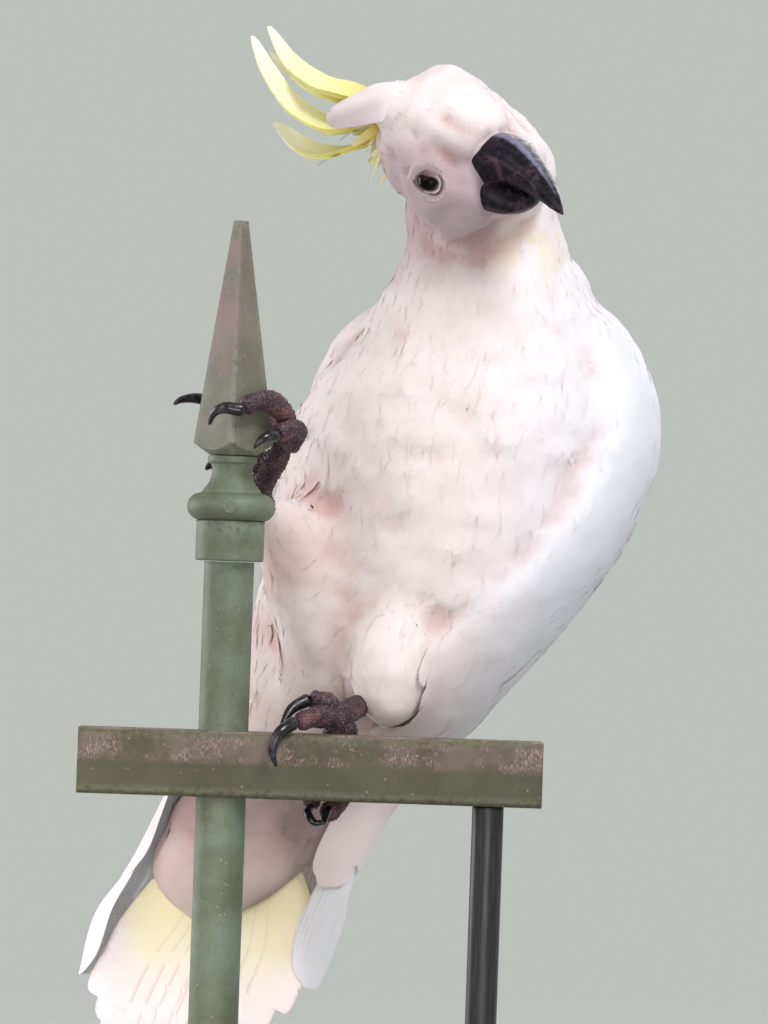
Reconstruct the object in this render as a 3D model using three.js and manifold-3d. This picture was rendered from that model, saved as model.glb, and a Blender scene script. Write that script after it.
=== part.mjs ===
// A sulphur-crested cockatoo clinging to a short length of steel fence, on a plain display stand.
// Millimetres, +Z up, origin at the middle of the underside of the stand's base plate.
// +X is to the left of the bird's breast and -Y is the side that its breast faces.
import * as THREE from "three";
import { ParametricGeometry } from "three/addons/geometries/ParametricGeometry.js";
import { mergeVertices } from "three/addons/utils/BufferGeometryUtils.js";
import Module from "manifold-3d";

const wasm = await Module();
wasm.setup();

// ---- driving dimensions -------------------------------------------------------------------
const GAP = 0.3; // clearance between neighbouring pieces

// Fence
const FENCE_Y = -38; // plane of the rail and the picket
const PICKET_X = -45.5;
const PICKET_RADIUS = 9.5;
const PICKET_BOTTOM_Z = 40;
const RAIL_SIZE = 25;
const RAIL_TOP_Z = 160;
const RAIL_X0 = -100;
const RAIL_X1 = 76;
const COLLAR_BOTTOM_Z = 224.5;
const SPEAR_TOP_Z = 354;
const SPEAR_HALF_DIAGONAL = 16.4;
const SPEAR_TOP_HALF = 2.9;

// Stand
const BASE_LENGTH = 216;
const BASE_WIDTH = 196;
const BASE_HEIGHT = 12;
const BASE_CORNER = 14;
const ROD_RADIUS = 6;
const ROD_2_X = 56;

// Body
const TURN = THREE.MathUtils.degToRad(22); // how far the breast is turned from -Y towards -X
const HEAD_CENTRE = [39, -18, 383.5];
const HEAD_FORWARD = [0.55, -0.83, 0.09];
const HEAD_UP = [-0.33, -0.12, 0.94];
const EYE_RADIUS = 5;
const CREST_THICKNESS = 1.2;
const WING_SINK = 1.5; // depth to which the wings are laid into the body before they are cut
const TAIL_HALF_THICKNESS = 1.3;

// ---- vectors and solids -------------------------------------------------------------------
const V = (p) => new THREE.Vector3(p[0], p[1], p[2]);
const LEFT = V([Math.cos(TURN), -Math.sin(TURN), 0]); // towards the bird's left side
const UP = V([0, 0, 1]);
const FRONT = new THREE.Vector3().crossVectors(LEFT, UP); // the way the breast faces
const mix = THREE.MathUtils.lerp;

// A closed geometry as a solid that faces outwards.
function solid(geometry) {
  const bare = geometry.clone();
  bare.deleteAttribute("normal");
  bare.deleteAttribute("uv");
  const merged = mergeVertices(bare, 1e-3);
  const index = merged.index.array;
  const make = (a, b, c) => {
    const triVerts = [];
    for (let i = 0; i < index.length; i += 3) {
      const t = [index[i + a], index[i + b], index[i + c]];
      if (t[0] !== t[1] && t[1] !== t[2] && t[2] !== t[0]) triVerts.push(...t);
    }
    const vertProperties = merged.attributes.position.array;
    const mesh = new wasm.Mesh({ numProp: 3, vertProperties, triVerts: new Uint32Array(triVerts) });
    return new wasm.Manifold(mesh);
  };
  const made = make(0, 1, 2);
  return made.volume() < 0 ? make(0, 2, 1) : made;
}

const box = (w, d, h, x, y, z) => solid(new THREE.BoxGeometry(w, d, h).translate(x, y, z));
const rod = (r0, r1, z0, z1, sides, x, y) =>
  solid(new THREE.CylinderGeometry(r1, r0, z1 - z0, sides).rotateX(Math.PI / 2)
    .translate(x, y, (z0 + z1) / 2));

// The largest piece of a solid, so that no loose sliver stays.
function largest(made) {
  return made.decompose().reduce((a, b) => (a.volume() > b.volume() ? a : b));
}

// A smooth line through stations, and the other numbers of each station along it.
function line(stations) {
  const curve = (k) => new THREE.CatmullRomCurve3(
    stations.map((s) => V([s[k], s[k + 1], s[k + 2]])), false, "catmullrom", 0.5);
  const place = curve(0), size = curve(3);
  return {
    at: (t) => place.getPoint(t),
    along: (t) => place.getPoint(Math.min(t + 0.01, 1)).sub(place.getPoint(Math.max(t - 0.01, 0)))
      .normalize(),
    size: (t) => size.getPoint(t),
  };
}

// Round-ended swell from 0 to 1 and back over the two end lengths.
function rounded(t, first, last) {
  const a = first > 0 && t < first ? 1 - t / first : 0;
  const b = last > 0 && t > 1 - last ? (t - 1 + last) / last : 0;
  return Math.sqrt(Math.max(0, 1 - Math.max(a, b) ** 2));
}

// A body swept along stations [x, y, z, half width, front depth, back depth].
function sweep(stations, side, options) {
  const { around = 12, steps = 10, ends = [0.1, 0.1], grow = 0, level = false, ease = 0.5 } = options;
  const path = line(stations);
  const point = (s, turn, target) => {
    const t = mix(s, 0.5 - 0.5 * Math.cos(Math.PI * s), ease);
    const along = level ? UP : path.along(t);
    const across = side.clone().addScaledVector(along, -side.dot(along)).normalize();
    const front = new THREE.Vector3().crossVectors(across, along);
    const { x: w, y: f, z: b } = path.size(t);
    const end = rounded(t, ends[0], ends[1]);
    const a = turn * 2 * Math.PI;
    target.copy(path.at(t));
    target.addScaledVector(across, (w + grow) * end * Math.cos(a));
    target.addScaledVector(front, ((Math.sin(a) > 0 ? f : b) + grow) * end * Math.sin(a));
    target.addScaledVector(along, grow * (2 * t - 1));
  };
  return solid(new ParametricGeometry(point, steps, around));
}

const group = new THREE.Group();
function add(name, made, look) {
  const mesh = largest(made).getMesh();
  const geometry = new THREE.BufferGeometry();
  geometry.setAttribute("position", new THREE.BufferAttribute(new Float32Array(mesh.vertProperties), 3));
  geometry.setIndex(new THREE.BufferAttribute(new Uint32Array(mesh.triVerts), 1));
  geometry.computeVertexNormals();
  const [color, roughness, metalness] = look;
  const node = new THREE.Mesh(geometry, new THREE.MeshStandardMaterial({ color, roughness, metalness }));
  node.name = name;
  group.add(node);
}

const WHITE = ["#efe6e6", 0.85, 0];
const YELLOW = ["#efe678", 0.8, 0];
const BILL = ["#2a2230", 0.35, 0];
const EYE = ["#140e10", 0.1, 0];
const SCALE = ["#4a3a42", 0.7, 0];
const CLAW = ["#17141a", 0.35, 0];
const PAINT = ["#6d7355", 0.5, 0.1];
const STAND = ["#2b2b2d", 0.5, 0];

// ---- trunk and neck -----------------------------------------------------------------------
// Level sections from the tips of the undertail feathers up to the nape:
// middle x, y, z, half width, depth in front and behind.
const TORSO = [
  [-54, 78, 79, 8, 4, 4], [-45, 66, 103, 33, 13, 15], [-22, 52, 135, 44.5, 25, 27],
  [-2, 41, 168, 49.5, 35, 37], [15.5, 36, 200, 58.5, 43, 42], [29.5, 32, 233, 67.5, 49, 46],
  [37.5, 29, 268, 69.5, 51, 50], [43, 27, 295, 64.5, 49, 49], [48.5, 25, 315, 53, 43, 45],
  [50, 21, 333, 43.5, 38, 38], [48.5, 16, 352, 34, 29, 31], [45, 10, 371, 31, 24, 29],
  [39, 4, 388, 20, 17, 18],
];
const torso = (grow) =>
  sweep(TORSO, LEFT, { around: 28, steps: 28, ends: [0.05, 0.07], grow, level: true, ease: 0.2 });

// ---- head ---------------------------------------------------------------------------------
const headForward = V(HEAD_FORWARD).normalize();
const headRight = new THREE.Vector3().crossVectors(headForward, V(HEAD_UP)).normalize();
const headUp = new THREE.Vector3().crossVectors(headRight, headForward);

// A place given as [forward, right, up] from the middle of the head.
const onHead = (f, r, u) => V(HEAD_CENTRE).addScaledVector(headForward, f)
  .addScaledVector(headRight, r).addScaledVector(headUp, u);
const headStations = (rows) => rows.map(([f, r, u, ...size]) => [...onHead(f, r, u).toArray(), ...size]);

// Round masses of the skull and its feathers: forward, right, up, radius.
const HEAD_MASSES = [
  [-9, 0, 8.6, 27.6], [-4, 0, -1, 24], [6, 0, 5, 19], [4.5, 11, -10, 15], [12.5, -12.5, -10, 15.8],
  [-6, 0, -14, 20], [0.5, 12.2, -3.5, 16], [0.5, -12.2, -3.5, 16],
];
function head(grow) {
  const point = (s, turn, target) => {
    const lat = (s - 0.5) * Math.PI, lon = turn * 2 * Math.PI;
    const d = [Math.cos(lat) * Math.cos(lon), Math.cos(lat) * Math.sin(lon), Math.sin(lat)];
    let sum = 0;
    for (const [f, r, u, radius] of HEAD_MASSES) {
      const along = d[0] * f + d[1] * r + d[2] * u;
      const root = along * along - (f * f + r * r + u * u) + radius * radius;
      const reach = root > 0 ? along + Math.sqrt(root) : 0;
      if (reach > 0) sum += reach ** 12;
    }
    const reach = sum ** (1 / 12) + grow;
    target.copy(onHead(d[0] * reach, d[1] * reach, d[2] * reach));
  };
  return solid(new ParametricGeometry(point, 16, 22));
}

// ---- wings: shells that lie on the body ---------------------------------------------------
// Sections of the body that carries the wings, from the shoulder down to the wing tips.
const CARRIER = [
  ...TORSO.slice(2, 10).reverse(), [-38.5, 66, 103, 46, 17, 19], [-48, 81, 82, 52, 14, 17],
  [-54.5, 96, 60, 52, 11, 14], [-61, 106, 42, 50, 9, 12],
];

// Place along the carrier's sections, front edge and back edge in degrees from the bird's side,
// and thickness in the middle of the wing.
const WING_LEFT = [
  [0, 5, -25, 1], [0.5, 14, -50, 7], [1, 16, -62, 10], [2, 18, -76, 14], [3, 22, -84, 16],
  [4, 34, -87, 13], [5, 50, -87, 11], [6, 48, -84, 10], [7, 36, -76, 7], [8, 34, -64, 3.5],
  [9, 42, -50, 2.6], [9.7, 38, -36, 2], [10.2, 24, -16, 1.2],
];
const WING_RIGHT = [
  [0, 5, -25, 1], [0.5, 14, -50, 9], [1, 12, -62, 13], [2, 0, -76, 10], [3, -14, -84, 8],
  [4, -14, -87, 8], [5, -5, -87, 8], [6, 4, -84, 9], [7, 14, -76, 8], [8, 22, -64, 4],
  [9, 30, -50, 2.6], [9.7, 26, -36, 2], [10.2, 12, -20, 1.2],
];
function wing(hand, rows) {
  const body = line(CARRIER);
  const smooth = (places) => new THREE.CatmullRomCurve3(places.map(V), false, "catmullrom", 0.5);
  const table = smooth(rows.map((r) => [r[1], r[2], r[3]]));
  const spots = smooth(rows.map((r) => [r[0] / (CARRIER.length - 1), 0, 0]));
  const point = (s, turn, target) => {
    const t = spots.getPoint(s).x;
    const { x: from, y: to, z: thick } = table.getPoint(s);
    const { x: w, y: f, z: b } = body.size(t);
    const a = turn * 2 * Math.PI;
    const edge = Math.cos(a), end = rounded(s, 0.06, 0.04);
    const phi = THREE.MathUtils.degToRad((from + to) / 2 + ((from - to) / 2) * edge * end);
    const out = mix(-WING_SINK, thick, 0.5 + 0.5 * Math.sin(a)) * end;
    target.copy(body.at(t));
    target.addScaledVector(LEFT, hand * (w + out) * Math.cos(phi));
    target.addScaledVector(FRONT, ((phi > 0 ? f : b) + out) * Math.sin(phi));
  };
  return solid(new ParametricGeometry(point, 20, 12));
}

// ---- tail ---------------------------------------------------------------------------------
const T = TAIL_HALF_THICKNESS;
const TAIL = [
  [-38, 66, 108, 30, 4, 4], [-43, 76, 92, 40, 3.4, 3.4], [-50, 90, 72, 48, 2.4, 2.4],
  [-57, 101, 54, 50, 1.8, 1.8], [-63, 109, 38, 49, T, T], [-68, 116, 22, 42, T, T],
];

// ---- legs and feet ------------------------------------------------------------------------
// A round limb through places [x, y, z, radius]; its sections stay square to the line.
function limb(places, { around = 6, steps = 6, ends = [0.06, 0.12], grow = 0 } = {}) {
  const [a, b, c] = [0, places.length >> 1, places.length - 1].map((i) => V(places[i]));
  const side = b.clone().sub(a).cross(c.clone().sub(b)).normalize();
  const rows = places.map(([x, y, z, r]) => [x, y, z, r, r, r]);
  return sweep(rows, side, { around, steps, ends, grow });
}

// Left foot on the rail, right foot round the spearhead: leg, then toes with their claws.
const FEET = {
  left: {
    thigh: [[24, 16, 216, 15], [20, 3, 200, 18], [17, -4, 184, 17.5], [15.5, -8, 170, 12.5],
      [14, -10, 162, 7]],
    tarsus: [[6, -9, 171, 4.2], [0.5, -20, 168, 4.5], [-3, -28.5, 165.8, 4.8]],
    toes: [
      { name: "inner", toe: [[-1, -32, 165.8, 4], [-6, -36.4, 166.6, 4], [-11, -42, 166.4, 3.8],
        [-17.5, -48, 164.4, 3.4]],
      claw: [[-19.5, -50, 163.6, 2.6], [-24, -54.3, 160, 2.3], [-26.3, -55, 153.5, 1.5],
        [-24.6, -54, 147.5, 0.6]] },
      { name: "outer", toe: [[-1, -30, 167.4, 4], [-7, -31, 171.6, 3.9], [-13, -33.5, 173, 3.4]],
        claw: [[-15, -34.5, 172.2, 2.5], [-20, -38.5, 169, 2], [-23.6, -43.5, 162.4, 0.8]] },
      { name: "hind_outer", toe: [[0, -27, 164.6, 3.9], [1.8, -20.8, 157, 3.8], [1.4, -20.8, 146, 3.6],
        [0, -21.6, 136, 3.6], [-3.4, -27.5, 131, 3.8], [-4.6, -32, 130.8, 3.4]],
      claw: [[-5, -34, 130.6, 2.2], [-5.6, -38.5, 129.6, 1.8], [-6.2, -42.5, 126, 0.7]] },
      { name: "hind_inner", toe: [[-2.4, -27.6, 163.6, 3.6], [-5.2, -21.4, 157, 3.5],
        [-7.6, -21.4, 147, 3.3], [-10.4, -21.8, 137, 3.2], [-11.6, -26, 131.4, 3]],
      claw: [[-11.9, -28, 131, 2], [-12.4, -34.5, 129.6, 1.7], [-9.6, -38.5, 126.4, 1.3],
        [-5, -38.8, 127, 0.6]] },
    ],
  },
  right: {
    thigh: [[-9, 14, 178, 7], [-10, 13, 193, 14], [-15, 11.5, 213, 18.5], [-24, 3, 235, 15.5],
      [-36, -10.5, 249, 7.5]],
    tarsus: [[-35, -11, 249, 4.4], [-33, -19, 258, 4.6], [-27.5, -28, 267, 5]],
    toes: [
      { name: "outer", toe: [[-26.5, -30, 270, 4], [-25.6, -38.5, 279, 3.9],
        [-31, -45.4, 285, 3.8], [-37.5, -51.6, 285, 3.6], [-42, -56, 282, 3.3]],
      claw: [[-43.6, -57.2, 281.6, 2.5], [-49, -57.4, 282, 2.2], [-52.8, -54.6, 280, 1.5],
        [-54.6, -51, 275.6, 0.6]] },
      { name: "inner", toe: [[-25.4, -30.5, 269, 4], [-21.4, -36, 274, 3.8],
        [-24.6, -43.6, 275, 3.6], [-28.6, -48, 273, 3.2]],
      claw: [[-30, -49.4, 272.4, 2.4], [-34, -52.8, 271, 1.8], [-37.4, -53.6, 267.4, 0.6]] },
      { name: "hind_outer", toe: [[-27, -29, 271, 4], [-31, -21.6, 277.5, 3.8],
        [-38, -17, 282, 3.6], [-46, -16.8, 284.6, 3.4], [-53, -19.4, 285.4, 3]],
      claw: [[-55, -20.6, 285.6, 2.4], [-61, -23.6, 286.4, 2], [-66, -27, 285.6, 1.4],
        [-69, -30.5, 283.6, 0.6]] },
      { name: "hind_inner", toe: [[-27, -28, 267, 3.8], [-31, -21.6, 264, 3.6],
        [-38, -18.6, 262, 3.4], [-46, -18.6, 261.6, 3]],
      claw: [[-48, -19.2, 261.6, 2.2], [-53.6, -22.6, 261.2, 1.8], [-56, -28, 259.4, 0.6]] },
    ],
  },
};

// ---- crest --------------------------------------------------------------------------------
// Feathers from the crown to their upturned tips: [x, y, z, half width].
const CREST = {
  crest_1: [[10, -22, 402, 4], [-6, -12, 406.5, 6], [-18, -3, 410.5, 5], [-30, 9, 420, 3.4],
    [-39, 16, 434, 1]],
  crest_2: [[9, -14, 403, 4], [-6, -6, 405, 5.4], [-18, 2, 409, 4.6], [-30, 13, 417, 2.6],
    [-39, 18, 424, 0.8]],
  crest_3: [[10, -21, 398, 4], [-6, -12, 393, 4.4], [-16, -7, 394.6, 5], [-28, 0, 402, 4.2],
    [-38, 4, 415, 3.2], [-45, 6, 429, 1]],
  crest_4: [[10, -10, 392, 4], [-3, 0, 386, 6.6], [-14, 8, 384.4, 6], [-24, 14, 387.4, 4.2],
    [-36, 20, 397, 1.1]],
  crest_5: [[9, -4, 396, 4], [-3, 5, 394, 5], [-13, 12, 394, 4], [-24, 19, 400, 1]],
};

// ---- build the bird -----------------------------------------------------------------------
const headSolid = head(0), headGrown = head(GAP);
const body = torso(0), bodyGrown = torso(GAP);
const neckPlane = 336;
const above = box(300, 300, 200, 40, 0, neckPlane + 100);
const below = box(300, 300, 400, 40, 0, neckPlane - GAP - 200);
const trunk = body.intersect(below);

// Eyes
const eyeAt = (hand) => onHead(6.6, hand * 23.8, -4.5);
const eye = (hand, grow) => solid(new THREE.SphereGeometry(EYE_RADIUS + grow, 10, 8)
  .translate(...eyeAt(hand).toArray()));

add("head", headSolid.subtract(eye(1, GAP)).subtract(eye(-1, GAP)), WHITE);
add("trunk", trunk, WHITE);
add("eye_right", eye(1, 0), EYE);
add("eye_left", eye(-1, 0), EYE);

// Bill
const UPPER = headStations([
  [10, 0, -3, 11.5, 9, 13], [19, 0, -2.5, 12, 8.4, 13.6], [28, 0, -4.8, 10.4, 8, 12],
  [37, 0, -12, 7.4, 6.4, 7.8], [44.5, 0, -21, 4.2, 4.1, 4.4], [49.5, 0, -30.5, 1.1, 1.1, 1.1],
]);
const LOWER = headStations([
  [6, 0, -11, 10, 9, 8.5], [14.5, 0, -14.5, 12.4, 8.5, 9], [23.5, 0, -19.8, 11.6, 7, 6.7],
  [31.5, 0, -23.5, 6, 3, 3.4],
]);
const upper = (grow) => sweep(UPPER, headRight, { around: 14, steps: 10, ends: [0.1, 0.12], grow });
const lower = (grow) => sweep(LOWER, headRight, { around: 12, steps: 7, ends: [0.15, 0.15], grow });
add("bill_upper", upper(0).subtract(headGrown), BILL);
add("bill_lower", lower(0).subtract(headGrown).subtract(upper(GAP)), BILL);

add("neck", body.intersect(above).subtract(headGrown).subtract(upper(GAP)).subtract(lower(GAP)), WHITE);
const tail = (grow) => sweep(TAIL, LEFT, { around: 12, steps: 12, ends: [0.05, 0.3], grow, level: true });
add("tail", tail(0).subtract(bodyGrown), WHITE);
const cutAway = bodyGrown.add(tail(GAP));
add("wing_left", wing(1, WING_LEFT).subtract(cutAway), WHITE);
add("wing_right", wing(-1, WING_RIGHT).subtract(cutAway), WHITE);

// Crest: each feather lies clear of the head and of the feathers laid before it.
const LOCK = [
  [23, -20, 405.5, 9.5], [10, -24.5, 403.2, 8.6], [1, -25, 400.3, 6.6], [-7, -23.5, 397.2, 5.2], [-14, -21, 394.6, 3.2],
];
const lock = (grow) => sweep(LOCK.map(([x, y, z, w]) => [x, y, z, w, w * 0.5, w * 0.5]), headUp,
  { around: 8, steps: 7, ends: [0.1, 0.1], grow });
add("crown_lock", lock(0).subtract(headGrown), WHITE);
let laid = headGrown.add(lock(GAP));
for (const [name, places] of Object.entries(CREST)) {
  const half = CREST_THICKNESS / 2;
  const blade = (grow) => sweep(places.map(([x, y, z, w]) => [x, y, z, w, half, half]), headRight,
    { around: 6, steps: 8, ends: [0.05, 0.08], grow });
  add(name, blade(0).subtract(laid), YELLOW);
  laid = laid.add(blade(GAP));
}

// ---- fence --------------------------------------------------------------------------------
const railMiddle = RAIL_TOP_Z - RAIL_SIZE / 2;
const railLength = RAIL_X1 - RAIL_X0;
function roundedSquare(w, h, corner) {
  const shape = new THREE.Shape(), x = w / 2, y = h / 2;
  shape.moveTo(corner - x, -y).lineTo(x - corner, -y)
    .absarc(x - corner, corner - y, corner, -Math.PI / 2, 0)
    .lineTo(x, y - corner).absarc(x - corner, y - corner, corner, 0, Math.PI / 2)
    .lineTo(corner - x, y).absarc(corner - x, y - corner, corner, Math.PI / 2, Math.PI)
    .lineTo(-x, corner - y).absarc(corner - x, corner - y, corner, Math.PI, Math.PI * 1.5);
  return shape;
}
const bar = (grow) => solid(new THREE.ExtrudeGeometry(
  roundedSquare(RAIL_SIZE + 2 * grow, RAIL_SIZE + 2 * grow, 2.2 + grow),
  { depth: railLength, bevelEnabled: false, curveSegments: 3 })
  .rotateY(Math.PI / 2).translate(RAIL_X0, FENCE_Y, railMiddle));
const railGrown = bar(GAP);
const picketHole = rod(PICKET_RADIUS + GAP, PICKET_RADIUS + GAP, 100, 200, 24, PICKET_X, FENCE_Y);
add("perch_rail", bar(0).subtract(picketHole), PAINT);
add("perch_picket", rod(PICKET_RADIUS, PICKET_RADIUS, PICKET_BOTTOM_Z, COLLAR_BOTTOM_Z - GAP, 24,
  PICKET_X, FENCE_Y), PAINT);

// Collar: sleeve, ring, flared neck and flange, turned in one piece.
const turned = (profile, sides) => solid(new THREE.LatheGeometry(
  profile.map(([r, z]) => new THREE.Vector2(r, z)), sides).rotateX(Math.PI / 2)
  .translate(PICKET_X, FENCE_Y, 0));
const RING_Z = 245, RING_OUT = 16.8, RING_HALF = 5.2;
const collar = [[0, COLLAR_BOTTOM_Z], [12.4, COLLAR_BOTTOM_Z], [13, COLLAR_BOTTOM_Z + 0.8],
  [13, RING_Z - RING_HALF]];
for (let i = 0; i <= 5; i++) {
  const a = -Math.PI / 2 + (i * Math.PI) / 5;
  collar.push([RING_OUT - RING_HALF + RING_HALF * Math.cos(a), RING_Z + RING_HALF * Math.sin(a)]);
}
collar.push([10.8, RING_Z + 6.6], [8.4, RING_Z + 9.5], [7.7, RING_Z + 13], [8.2, RING_Z + 16],
  [9.5, RING_Z + 17], [9.5, RING_Z + 19.4], [0, RING_Z + 19.4]);
const boss = solid(new THREE.SphereGeometry(2.6, 8, 6).scale(1, 0.7, 1)
  .translate(PICKET_X, FENCE_Y - RING_OUT + 0.6, RING_Z));
add("perch_collar", turned(collar, 16).add(boss), PAINT);

// Spearhead: a square point with its corners just broken, and a round-turned foot.
const spearBottom = RING_Z + 19.4 + GAP;
const point = (grow) => {
  const [low, high] = [SPEAR_HALF_DIAGONAL + grow * 1.42, SPEAR_TOP_HALF + grow * 1.42];
  const square = rod(low, high, spearBottom - grow, SPEAR_TOP_Z, 4, PICKET_X, FENCE_Y);
  const broken = solid(new THREE.CylinderGeometry(high * 1.36, low * 1.36,
    SPEAR_TOP_Z - spearBottom + grow, 4).rotateY(Math.PI / 4).rotateX(Math.PI / 2)
    .translate(PICKET_X, FENCE_Y, (SPEAR_TOP_Z + spearBottom - grow) / 2));
  return square.intersect(broken);
};
const spearGrown = point(GAP);
const footOfSpear = turned([[0, spearBottom - 1], [8.2, spearBottom - 1], [17.5, spearBottom + 5.6],
  [17.5, 360], [0, 360]], 24);
add("perch_spear", point(0).intersect(footOfSpear), PAINT);

// Legs, laid against the rail and the spearhead that they grip
const wings = wing(1, WING_LEFT).add(wing(-1, WING_RIGHT));
for (const [hand, foot] of Object.entries(FEET)) {
  const thigh = (grow) => limb(foot.thigh, { around: 12, steps: 8, ends: [0.1, 0.16], grow });
  add(`thigh_${hand}`, thigh(0).subtract(bodyGrown).subtract(wings), WHITE);
  let used = thigh(GAP).add(hand === "left" ? railGrown : spearGrown);
  const tarsus = (grow) => limb(foot.tarsus, { around: 8, steps: 4, ends: [0.1, 0.3], grow });
  add(`tarsus_${hand}`, tarsus(0).subtract(used).subtract(bodyGrown), SCALE);
  used = used.add(tarsus(GAP));
  for (const { name, toe, claw } of foot.toes) {
    add(`toe_${hand}_${name}`, limb(toe).subtract(used), SCALE);
    used = used.add(limb(toe, { grow: GAP }));
    const nail = limb(claw, { around: 6, steps: 5, ends: [0.04, 0.05] });
    add(`claw_${hand}_${name}`, nail.subtract(used), CLAW);
  }
}

// ---- stand --------------------------------------------------------------------------------
const plate = new THREE.ExtrudeGeometry(roundedSquare(BASE_LENGTH, BASE_WIDTH, BASE_CORNER),
  { depth: BASE_HEIGHT, bevelEnabled: false, curveSegments: 6 });
add("stand_base", solid(plate), STAND);
add("stand_rod_1", rod(ROD_RADIUS, ROD_RADIUS, BASE_HEIGHT + GAP, PICKET_BOTTOM_Z - GAP, 16,
  PICKET_X, FENCE_Y), STAND);
add("stand_rod_2", rod(ROD_RADIUS, ROD_RADIUS, BASE_HEIGHT + GAP, RAIL_TOP_Z - RAIL_SIZE - GAP, 16,
  ROD_2_X, FENCE_Y), STAND);

export default group;
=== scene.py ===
# A sulphur-crested cockatoo clinging to a short length of steel fence, on a plain display stand.
# Sizes are worked out in millimetres and made metres where a mesh is built.
import math

import bpy
import numpy as np
from mathutils import Matrix, Vector, noise
from mathutils.bvhtree import BVHTree
from mathutils.kdtree import KDTree


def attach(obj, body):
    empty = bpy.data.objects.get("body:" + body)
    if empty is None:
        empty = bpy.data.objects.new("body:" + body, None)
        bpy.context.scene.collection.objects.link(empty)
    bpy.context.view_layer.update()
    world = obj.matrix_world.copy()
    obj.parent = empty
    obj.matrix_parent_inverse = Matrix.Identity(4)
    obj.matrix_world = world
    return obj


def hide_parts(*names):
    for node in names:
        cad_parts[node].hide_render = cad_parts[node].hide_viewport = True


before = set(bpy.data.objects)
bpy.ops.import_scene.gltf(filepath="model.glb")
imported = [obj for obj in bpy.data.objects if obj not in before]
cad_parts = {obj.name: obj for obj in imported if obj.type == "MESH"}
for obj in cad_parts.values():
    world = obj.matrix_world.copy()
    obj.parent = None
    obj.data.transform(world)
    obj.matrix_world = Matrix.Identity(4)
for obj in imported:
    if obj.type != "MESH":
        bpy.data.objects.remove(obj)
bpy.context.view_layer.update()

MM = 0.001
scene = bpy.context.scene

# ---- directions and the bird's driving sizes ----
TURN = math.radians(22)  # how far the breast is turned
LEFT = np.array([math.cos(TURN), -math.sin(TURN), 0.0])  # the bird's left
UP = np.array([0.0, 0.0, 1.0])
FRONT = np.cross(LEFT, UP)  # the way the breast faces

HEAD = np.array([39.0, -18.0, 383.5])
EYE_RADIUS = 5.0
EYE_PLACE = (6.6, 23.8, -4.5)  # forward, to the side and up from the middle of the head

# Level sections: middle x, y, z, half width, depth in front and behind.
TORSO = [
    [-54, 78, 79, 8, 4, 4], [-45, 66, 103, 33, 13, 15], [-22, 52, 135, 44.5, 25, 27],
    [-2, 41, 168, 49.5, 35, 37], [15.5, 36, 200, 58.5, 43, 42], [29.5, 32, 233, 67.5, 49, 46],
    [37.5, 29, 268, 69.5, 51, 50], [43, 27, 295, 64.5, 49, 49], [48.5, 25, 315, 53, 43, 45],
    [50, 21, 333, 43.5, 38, 38], [48.5, 16, 352, 34, 29, 31], [45, 10, 371, 31, 24, 29],
    [39, 4, 388, 20, 17, 18]]
HEAD_MASSES = [  # forward, right, up, radius
    [-9, 0, 8.6, 27.6], [-4, 0, -1, 24], [6, 0, 5, 19], [4.5, 11, -10, 15],
    [12.5, -12.5, -10, 15.8], [-6, 0, -14, 20], [0.5, 12.2, -3.5, 16], [0.5, -12.2, -3.5, 16]]
CARRIER = TORSO[2:10][::-1] + [  # what carries the wings, shoulder to wing tips
    [-38.5, 66, 103, 46, 17, 19], [-48, 81, 82, 52, 14, 17], [-54.5, 96, 60, 52, 11, 14],
    [-61, 106, 42, 50, 9, 12]]
WINGS = {  # section number, front edge and back edge in degrees, thickness
    "left": [
        [0, 5, -25, 1], [0.5, 14, -50, 7], [1, 16, -62, 10], [2, 18, -76, 14], [3, 22, -84, 16],
        [4, 34, -87, 13], [5, 50, -87, 11], [6, 48, -84, 10], [7, 36, -76, 7],
        [8, 34, -64, 3.5], [9, 42, -50, 2.6], [9.7, 38, -36, 2], [10.2, 24, -16, 1.2]],
    "right": [
        [0, 5, -25, 1], [0.5, 14, -50, 9], [1, 12, -62, 13], [2, 0, -76, 10],
        [3, -14, -84, 8], [4, -14, -87, 8], [5, -5, -87, 8], [6, 4, -84, 9], [7, 14, -76, 8],
        [8, 22, -64, 4], [9, 30, -50, 2.6], [9.7, 26, -36, 2], [10.2, 12, -20, 1.2]]}
HANDS = {"left": 1, "right": -1}
TAIL = [
    [-38, 66, 108, 30, 4, 4], [-43, 76, 92, 40, 3.4, 3.4], [-50, 90, 72, 48, 2.4, 2.4],
    [-57, 101, 54, 50, 1.8, 1.8], [-63, 109, 38, 49, 1.3, 1.3], [-68, 116, 22, 42, 1.3, 1.3]]
UPPER_BILL = [  # forward, right, up, half width, reach above and below
    [10, 0, -3, 11.5, 9, 13], [19, 0, -2.5, 12, 8.4, 13.6], [28, 0, -4.8, 10.4, 8, 12],
    [37, 0, -12, 7.4, 6.4, 7.8], [44.5, 0, -21, 4.2, 4.1, 4.4], [49.5, 0, -30.5, 1.1, 1.1, 1.1]]
LOWER_BILL = [
    [6, 0, -11, 10, 9, 8.5], [14.5, 0, -14.5, 12.4, 8.5, 9], [23.5, 0, -19.8, 11.6, 7, 6.7],
    [31.5, 0, -23.5, 6, 3, 3.4]]
UPPER_BILL_ENDS, LOWER_BILL_ENDS = (0.1, 0.12), (0.15, 0.15)  # shares of the length, rounded off
LOCK = [[23, -20, 405.5, 9.5], [10, -24.5, 403.2, 8.6], [1, -25, 400.3, 6.6],
        [-7, -23.5, 397.2, 5.2], [-14, -21, 394.6, 3.2]]
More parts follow.
